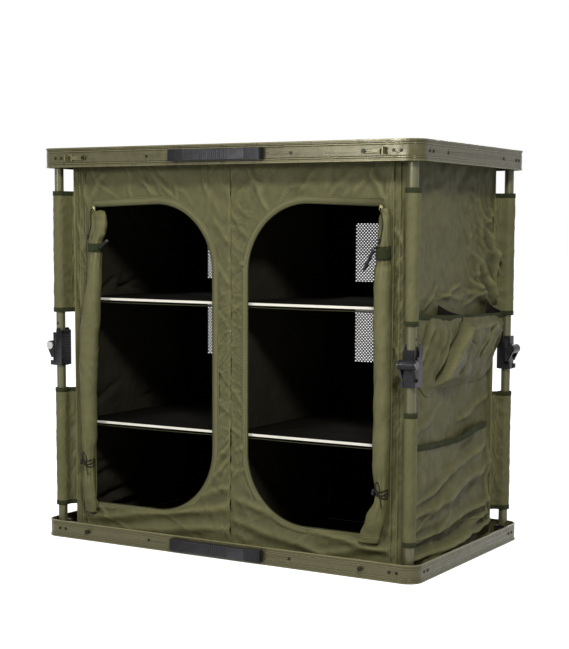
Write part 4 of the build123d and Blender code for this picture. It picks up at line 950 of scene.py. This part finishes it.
# Each leg's upper and lower sleeve: its radius at the bottom and top, and how far its two layers run before they meet
SLEEVES = {"front_left": ((11.4, 11.2, 15.5), (12.8, 11.8, 25)), "front_right": ((11.3, 11.2, 17), (11.2, 13.6, 19)),
           "rear_right": ((11.4, 11.4, 18), (12.4, 12.0, 20)), "rear_left": ((11.4, 11.2, 17), (12.0, 12.0, 22))}


def teardrop(radius, reach, arc=34, side=7):
    """A closed outline round the leg, as (forward, across) points with outward directions. Its tip is forward."""
    half = acos(radius / reach)
    touch = [(radius * cos(a), radius * sin(a), cos(a), sin(a))
             for a in linspace(half, 2 * pi - half, arc)]
    first, last = touch[0], touch[-1]
    tip = (reach, 0.0)
    outline = [(tip[0] + (first[0] - tip[0]) * k / side, first[1] * k / side, first[2], first[3]) for k in range(side)]
    outline += touch
    outline += [(last[0] + (tip[0] - last[0]) * k / side, last[1] * (1 - k / side), last[2], last[3])
                for k in range(1, side)]
    return outline


def sleeve(leg, part):
    """A cloth sleeve sewn round a leg, with the web that joins it to the cabinet's corner."""
    sx, sy = LEGS[leg]
    cx, cy = sx * LEG_X, sy * LEG_Y
    low, high = SLEEVE_ENDS[part]
    seed = 101.0 + 7 * list(LEGS).index(leg) + (3 if part == "upper" else 0)
    bottom, top, reach = SLEEVES[leg][part == "upper"]

    def core(u, v):
        angle, z = 2 * pi * u, low + 2 + (high - low - 4) * v
        return (cx + SLEEVE_CORE * cos(angle), cy + SLEEVE_CORE * sin(angle), z)

    tube = surface(f"sleeve_{part}_{leg}", 30, 12, core, [OLIVE], wrap_u=True)
    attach(thicken(tube, 0.6, 1.0), f"{part}_leg_{leg}")

    centre = Vector((cx, cy))
    inner = Vector((sx * (CABINET_X + 0.4), sy * (CABINET_Y + 0.4)))
    ahead = (inner - centre).normalized()
    across = Vector((-ahead.y, ahead.x))
    far = (inner - centre).length
    rows, count = 60, len(teardrop(bottom, reach))
    points, faces = [], []
    hoops = {"top": [], "bottom": []}
    for j in range(rows):
        v = j / (rows - 1)
        z = low + (high - low) * v
        radius = bottom + (top - bottom) * v
        flow = ease(v * 9) * ease((1 - v) * 9)
        low_half = 1.0 if part == "lower" else 0.35 + 0.65 * ease((0.62 - v) / 0.3)
        for k, (f, a, nf, na) in enumerate(teardrop(radius, reach)):
            away = max(0.0, f) / reach
            ruck = 0.5 * hills(k * 1.7, z, 26, seed) + 0.7 * crease(k * 1.8, z, 15, 52, seed + 1, 4)
            ruck += away * low_half * (2.4 * crease(k * 2.0, z, 24, -38, seed + 5, 3)
                                       + 1.5 * hills(k * 2, z, 22, seed + 6))
            f, a = f + nf * ruck * flow, a + na * ruck * flow
            p = centre + ahead * f + across * a
            points.append((p.x, p.y, z))
        for end, place in (("bottom", 1), ("top", rows - 2)):
            if j == place:
                for f, a, nf, na in teardrop(radius, reach):
                    p = centre + ahead * f + across * a
                    out = ahead * nf + across * na
                    hoops[end].append(((p.x, p.y, z), (out.x, out.y, 0)))
    for j in range(rows - 1):
        for k in range(count):
            m = (k + 1) % count
            faces.append((j * count + k, j * count + m, (j + 1) * count + m, (j + 1) * count + k))
    wrap = fold_trim(thicken(make(f"sleeve_wrap_{part}_{leg}", points, faces, [OLIVE]), 0.9, 0.0))

    def web(u, v):
        z = low + (high - low) * v
        flow = ease(v * 9) * ease((1 - v) * 9)
        p = centre + ahead * (reach - 0.6 + (far - reach + 0.6) * u)
        sag = 2.8 * hills(u * 30, z, 30, seed + 2) * sin(pi * u) \
            + 2.0 * u * (1 - u) * 4 * crease(u * 26, z, 18, 40, seed + 4, 3)
        return (p.x + across.x * sag * flow, p.y + across.y * sag * flow, z)

    trims = [fold_trim(thicken(surface(f"flap_{part}_{leg}", 10, 60, web, [OLIVE]), 1.0, 0.0))]
    for end, z in (("top", high - 4), ("bottom", low + 4)):
        path = [(p[0], p[1], z) for p, _ in hoops[end]]
        tape = ribbon(f"sleeve_{end}_{part}_{leg}", path, strap(9, 1.3), BINDING, normals=[o for _, o in hoops[end]],
                      closed=True)
        trims.append(fold_trim(tape))
        ends = [centre + ahead * (reach - 1 + (far - reach + 1) * s) for s in (0, 0.33, 0.66, 1)]
        tape = ribbon(f"flap_{end}_{part}_{leg}", [(p.x, p.y, z) for p in ends],
                      [(a, b - 0.9) for a, b in strap(9, 1.8)], BINDING, normals=(across.x, across.y, 0))
        trims.append(fold_trim(tape))
    ring = [points[(rows // 2) * count + k] for k in range(count)]
    round_it = sum(dist(a, b) for a, b in zip(ring, ring[1:] + ring[:1]))
    sheet(wrap, with_pieces=trims)
    return tube


sleeves = [sleeve(leg, part) for leg in LEGS for part in SLEEVE_ENDS]
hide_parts("corner_sleeves")


# Side pockets

def mouth(y):
    """The height of the gaping pocket's mouth, and how far it stands off the side panel."""
    past = y - MOUTH_FRONT
    t = past / MOUTH_LENGTH
    z = 465 - 0.02 * y + 10 * exp(-past / 60)
    off = 5 + 15 * ease(t * 3.2) - 9 * exp(-((y - 24) / 15) ** 2) - 4 * ease(t * 5 - 4)
    return z, off


# Sharp folds in the pocket: the line's (z, y) points, its height off the panel, how far it falls away to the rear,
# how deep the groove before it is, and how far it rises in front
POCKET_CREASES = [(((334, -173), (389, -149), (417, -133), (460, -124)), 9.0, 44, 3.0, 4.0),
                  (((316, -90), (347, -72), (379, -56), (401, -44), (435, -9), (453, 3)), 23.0, 95, 13.0, 3.0),
                  (((396, 50), (408, 42), (426, 16), (437, -2)), -8.0, 10, 0.0, 4.0),
                  (((372, 84), (400, 100), (446, 150)), 6.0, 30, 3.0, 4.0)]
POCKET_FOLDS = [(-84, 446, -112, 384, 7, 5.0), (-60, 436, -90, 372, 5, 5.4), (-118, 440, -150, 372, 7, -5.0),
                (80, 440, 150, 446, 6, 5.0), (110, 425, 60, 385, 7, 5.0), (170, 430, 120, 380, 6, 4.0),
                (30, 440, 70, 446, 5, 4.0)]


def crease_line(line, z):
    """Where a sharp fold is along y, at a height."""
    for (z0, y0), (z1, y1) in zip(line, line[1:]):
        if z <= z1 or (z1, y1) == line[-1]:
            return y0 + (y1 - y0) * (z - z0) / (z1 - z0)


def pocket_place(u, v):
    """u runs along the mouth from front to rear, v down from the mouth."""
    y_top = MOUTH_FRONT + MOUTH_LENGTH * u
    z_top, off = mouth(y_top)
    y_low = POCKET_FOOT_FRONT + POCKET_FOOT_LENGTH * u
    z_low = POCKET_FOOT_Z - 12 * exp(-((y_low + 112) / 22) ** 2) + 10 * exp(-((y_low + 147) / 14) ** 2)
    y = y_top + (y_low - y_top) * v ** 2.4
    z = z_top + (z_low - z_top) * v
    belly = 1.4 + off * (1 - v) ** 0.7 + 7 * sin(pi * v ** 0.8) * ease(u * 4) * ease((1.1 - u) * 4)
    sharp = 0.0
    for line, height, fall, groove, edge in POCKET_CREASES:
        away = y - crease_line(line, z)
        reach = ease((z - line[0][0] + 10) / 40) * ease((line[-1][0] + 14 - z) / 30)
        sharp += reach * (height * (exp(away / edge) if away < 0 else exp(-away / fall))
                          - groove * exp(-((away + 8) / 6) ** 2))
    soft = fold_height(y, z, POCKET_FOLDS) + 4.5 * hills(y, z, 34, 122.0) + 1.6 * hills(y, z, 14, 124.0)
    belly += (sharp + soft) * ease(v * 5) * ease((1 - v) * 6)
    wall = side_wrinkle(y, z) if y < CABINET_Y - 3 else 0.0
    return (CABINET_X + wall * v + max(1.6, belly), y, z)


pocket = fold_trim(thicken(surface("gaping_pocket", 170, 90, pocket_place, [OLIVE, LINING]), POCKET_CLOTH, -1.0, 1))
pocket.data.flip_normals()
edge_path = [(x - 0.8, y, z - 5) for x, y, z in (pocket_place(u, 0) for u in linspace(0, 1, 90))]
pocket_edge = fold_trim(ribbon("pocket_edge", edge_path, strap(11, 2.0), BINDING, normals=(1, 0, 0)))


def facing(name, low_y, wall_y, wall_z, past):
    """A dark sheet of painted shade where the inside of a pocket lies in shadow, from its sagging edge up to the side
    panel.
    """
    def place(u, v):
        y0 = low_y[0] + (low_y[1] - low_y[0]) * u
        z0, off = mouth(y0)
        y1 = wall_y[0] + (wall_y[1] - wall_y[0]) * u
        z1 = wall_z[0] + (wall_z[1] - wall_z[0]) * u - 2.5 * sin(pi * u)
        x0 = CABINET_X + off + 0.6
        x1 = CABINET_X + max(0.0, side_wrinkle(min(y1, 180), z1)) + 2.2 + past * u * u
        return (x0 + (x1 - x0) * v, y0 + (y1 - y0) * v, z0 - 9 + (z1 - z0 + 9) * v)

    return fold_trim(surface(name, 30, 12, place, [LINING]))


# Dark sheets of painted shade in the pocket's mouth, in front and at the rear.
pocket_shade_sheets = [facing("pocket_shade_front", (-98, -8), (-68, 22), (487, 465), 0),
           facing("pocket_shade_rear", (104, 199), (143, 196), (490, 466), 10)]
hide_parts("side_pockets")
sheet(pocket, with_pieces=[pocket_edge] + pocket_shade_sheets)


def flat_edge(u):
    """The height of the flat pocket's upper edge."""
    return FLAT_HIGH - 5 * sin(pi * min(1, u * 1.3)) + 11 * ease((u - 0.45) / 0.55)


def flat_place(u, v):
    """u runs along the flat pocket from front to rear, v up to its edge, which gapes a little."""
    y, z = FLAT_FRONT + FLAT_LENGTH * u, FLAT_LOW + (flat_edge(u) + 5 - FLAT_LOW) * v
    edge = ease(u * 12) * ease((1 - u) * 12) * ease(v * 6)
    gape = 9 * ease((v - 0.84) / 0.16) * exp(-((u - 0.70) / 0.2) ** 2)
    out = 2.6 + edge * (2.5 + 4.0 * hills(y, z, 80, 131.0) + 1.6 * hills(y, z, 30, 133.0)
                        + 7 * exp(-((z - 128 - 0.62 * y) / 26) ** 2)) + gape
    return (CABINET_X + side_wrinkle(y, z) + out, y, z)


flat_pocket = fold_trim(thicken(surface("flat_pocket", 80, 64, flat_place, [OLIVE, LINING]), POCKET_CLOTH, -1.0, 1))
edge_path = [(flat_place(u, 1)[0] - 0.4, flat_place(u, 1)[1], flat_edge(u)) for u in linspace(0, 1, 50)]
flat_edge_tape = fold_trim(ribbon("flat_pocket_edge", edge_path, strap(11, 1.8), BINDING, normals=(1, 0, 0)))
sheet(flat_pocket, with_pieces=[flat_edge_tape])


# Hard parts from the CAD

for prefix, rim in (("base", BASE_RIM), ("top", TOP_RIM)):
    for kind in ("rim_rails", "rim_corners"):
        dress(f"{prefix}_{kind}", rim, 0.25, RIM_EDGE_ANGLE)
    for kind, material, bevel in (("board", BOARD, 0.6), ("rivets", DULL_STEEL, 0.15),
                                  ("leg_brackets", PLASTIC, 0.5), ("hinge_pins", STEEL, 0.3),
                                  ("handle_caps", PLASTIC, 0.6), ("handle_grip", GRIP, 0.4)):
        dress(f"{prefix}_{kind}", material, bevel)
for node, material, bevel in (("latch_left", LATCH, 0.6), ("latch_right", LATCH, 0.6),
                              ("latch_pivots", DULL_STEEL, 0.4), ("latch_studs", DULL_STEEL, 0.4)):
    dress(node, material, bevel)
for leg in LEGS:
    for kind, material, bevel in (("lower_tube", TUBE, 0.4), ("upper_tube", TUBE, 0.4), ("lower_knuckle", PLASTIC, 0.6),
                                  ("upper_knuckle", PLASTIC, 0.6), ("lock_clip", PLASTIC, 0.4),
                                  ("knee_pin", STEEL if leg == "front_left" else PIN, 0.6)):
        dress(f"{kind}_{leg}", material, bevel)


# Floor, light and camera

WORLD_LIGHT, FLOOR_GLOW = 0.14, 1.0
FLOOR_REACH = 30000

floor = make("floor", [(x * FLOOR_REACH, y * FLOOR_REACH, 0) for x, y in CORNERS],
             [(0, 1, 2, 3)], principled("floor_paint", (0.45, 0.45, 0.45), 0.9, vary=0.01, scale=1.0))

world = bpy.data.worlds.new("light")
bpy.context.scene.world = world
world.use_nodes = True


def plain_rays(add):
    """One where a ray comes from the camera, a reflection or glass, and zero elsewhere."""
    rays = add("LightPath").outputs
    total = rays["Is Camera Ray"]
    for kind in ("Is Glossy Ray", "Is Transmission Ray"):
        total = add("Math", total, rays[kind], operation="MAXIMUM").outputs["Value"]
    return total


sky = world.node_tree
add = node_adder(sky)
level = add("MapRange", Value=plain_rays(add), To_Min=WORLD_LIGHT, To_Max=1.0)
sky.nodes["Background"].inputs["Color"].default_value = (1, 1, 1, 1)
sky.links.new(level.outputs["Result"], sky.nodes["Background"].inputs["Strength"])

paint = floor.data.materials[0].node_tree
add = node_adder(paint)
plain = paint.nodes["Principled BSDF"].outputs["BSDF"]
glow = add("Emission", Strength=FLOOR_GLOW).outputs["Emission"]
pick = add("MixShader", plain_rays(add), plain, add("AddShader", plain, glow).outputs["Shader"])
paint.links.new(pick.outputs["Shader"], paint.nodes["Material Output"].inputs["Surface"])


def lamp(name, place, target, size, power):
    """A soft rectangular lamp that looks at the target."""
    light = bpy.data.lights.new(name, "AREA")
    light.shape = "RECTANGLE"
    light.size, light.size_y = size
    light.energy = power
    holder = bpy.data.objects.new(name, light)
    holder.location = place
    holder.rotation_euler = (Vector(target) - Vector(place)).to_track_quat("-Z", "Y").to_euler()
    bpy.context.scene.collection.objects.link(holder)


lamp("key", (1.5, -1.85, 2.0), (0.1, -0.1, 0.55), (0.35, 0.35), 60)
lamp("fill", (-0.75, -2.75, 1.15), (-0.1, -0.2, 0.65), (0.45, 0.45), 30)
lamp("back", (-0.6, 3.0, 2.2), (0, 0.2, 0.4), (0.9, 0.9), 60)
lamp("strip", (-0.9, -3.1, 0.9), (0.3, -0.24, 0.7), (0.4, 1.6), 5)

# The camera stands at the front right and looks a little down. Its lens is shifted, as in the photograph's framing.
AZIMUTH, ELEVATION, ROLL = radians(29.909), radians(6.052), radians(0.34)
CAMERA_PLACE = (1.535322, -2.531199, 0.623143)
FOCAL_PX, CENTRE_PX, IMAGE_PX = 1473.5, (316.7, 385.8), (569, 649)
camera = bpy.data.cameras.new("camera")
camera.sensor_fit = "HORIZONTAL"
camera.sensor_width = 36
camera.lens = FOCAL_PX / IMAGE_PX[0] * camera.sensor_width
camera.shift_x = (IMAGE_PX[0] / 2 - CENTRE_PX[0]) / IMAGE_PX[0]
camera.shift_y = (CENTRE_PX[1] - IMAGE_PX[1] / 2) / IMAGE_PX[0]
camera.clip_end = 100
viewer = bpy.data.objects.new("camera", camera)
ahead = Vector((-sin(AZIMUTH) * cos(ELEVATION), cos(AZIMUTH) * cos(ELEVATION), -sin(ELEVATION)))
level = Vector((cos(AZIMUTH), sin(AZIMUTH), 0))
right = level * cos(ROLL) + level.cross(ahead) * sin(ROLL)
turn = Matrix((right, right.cross(ahead), -ahead)).transposed()
viewer.matrix_world = Matrix.Translation(CAMERA_PLACE) @ turn.to_4x4()
bpy.context.scene.collection.objects.link(viewer)
bpy.context.scene.camera = viewer
bpy.context.scene.view_settings.view_transform = "Standard"
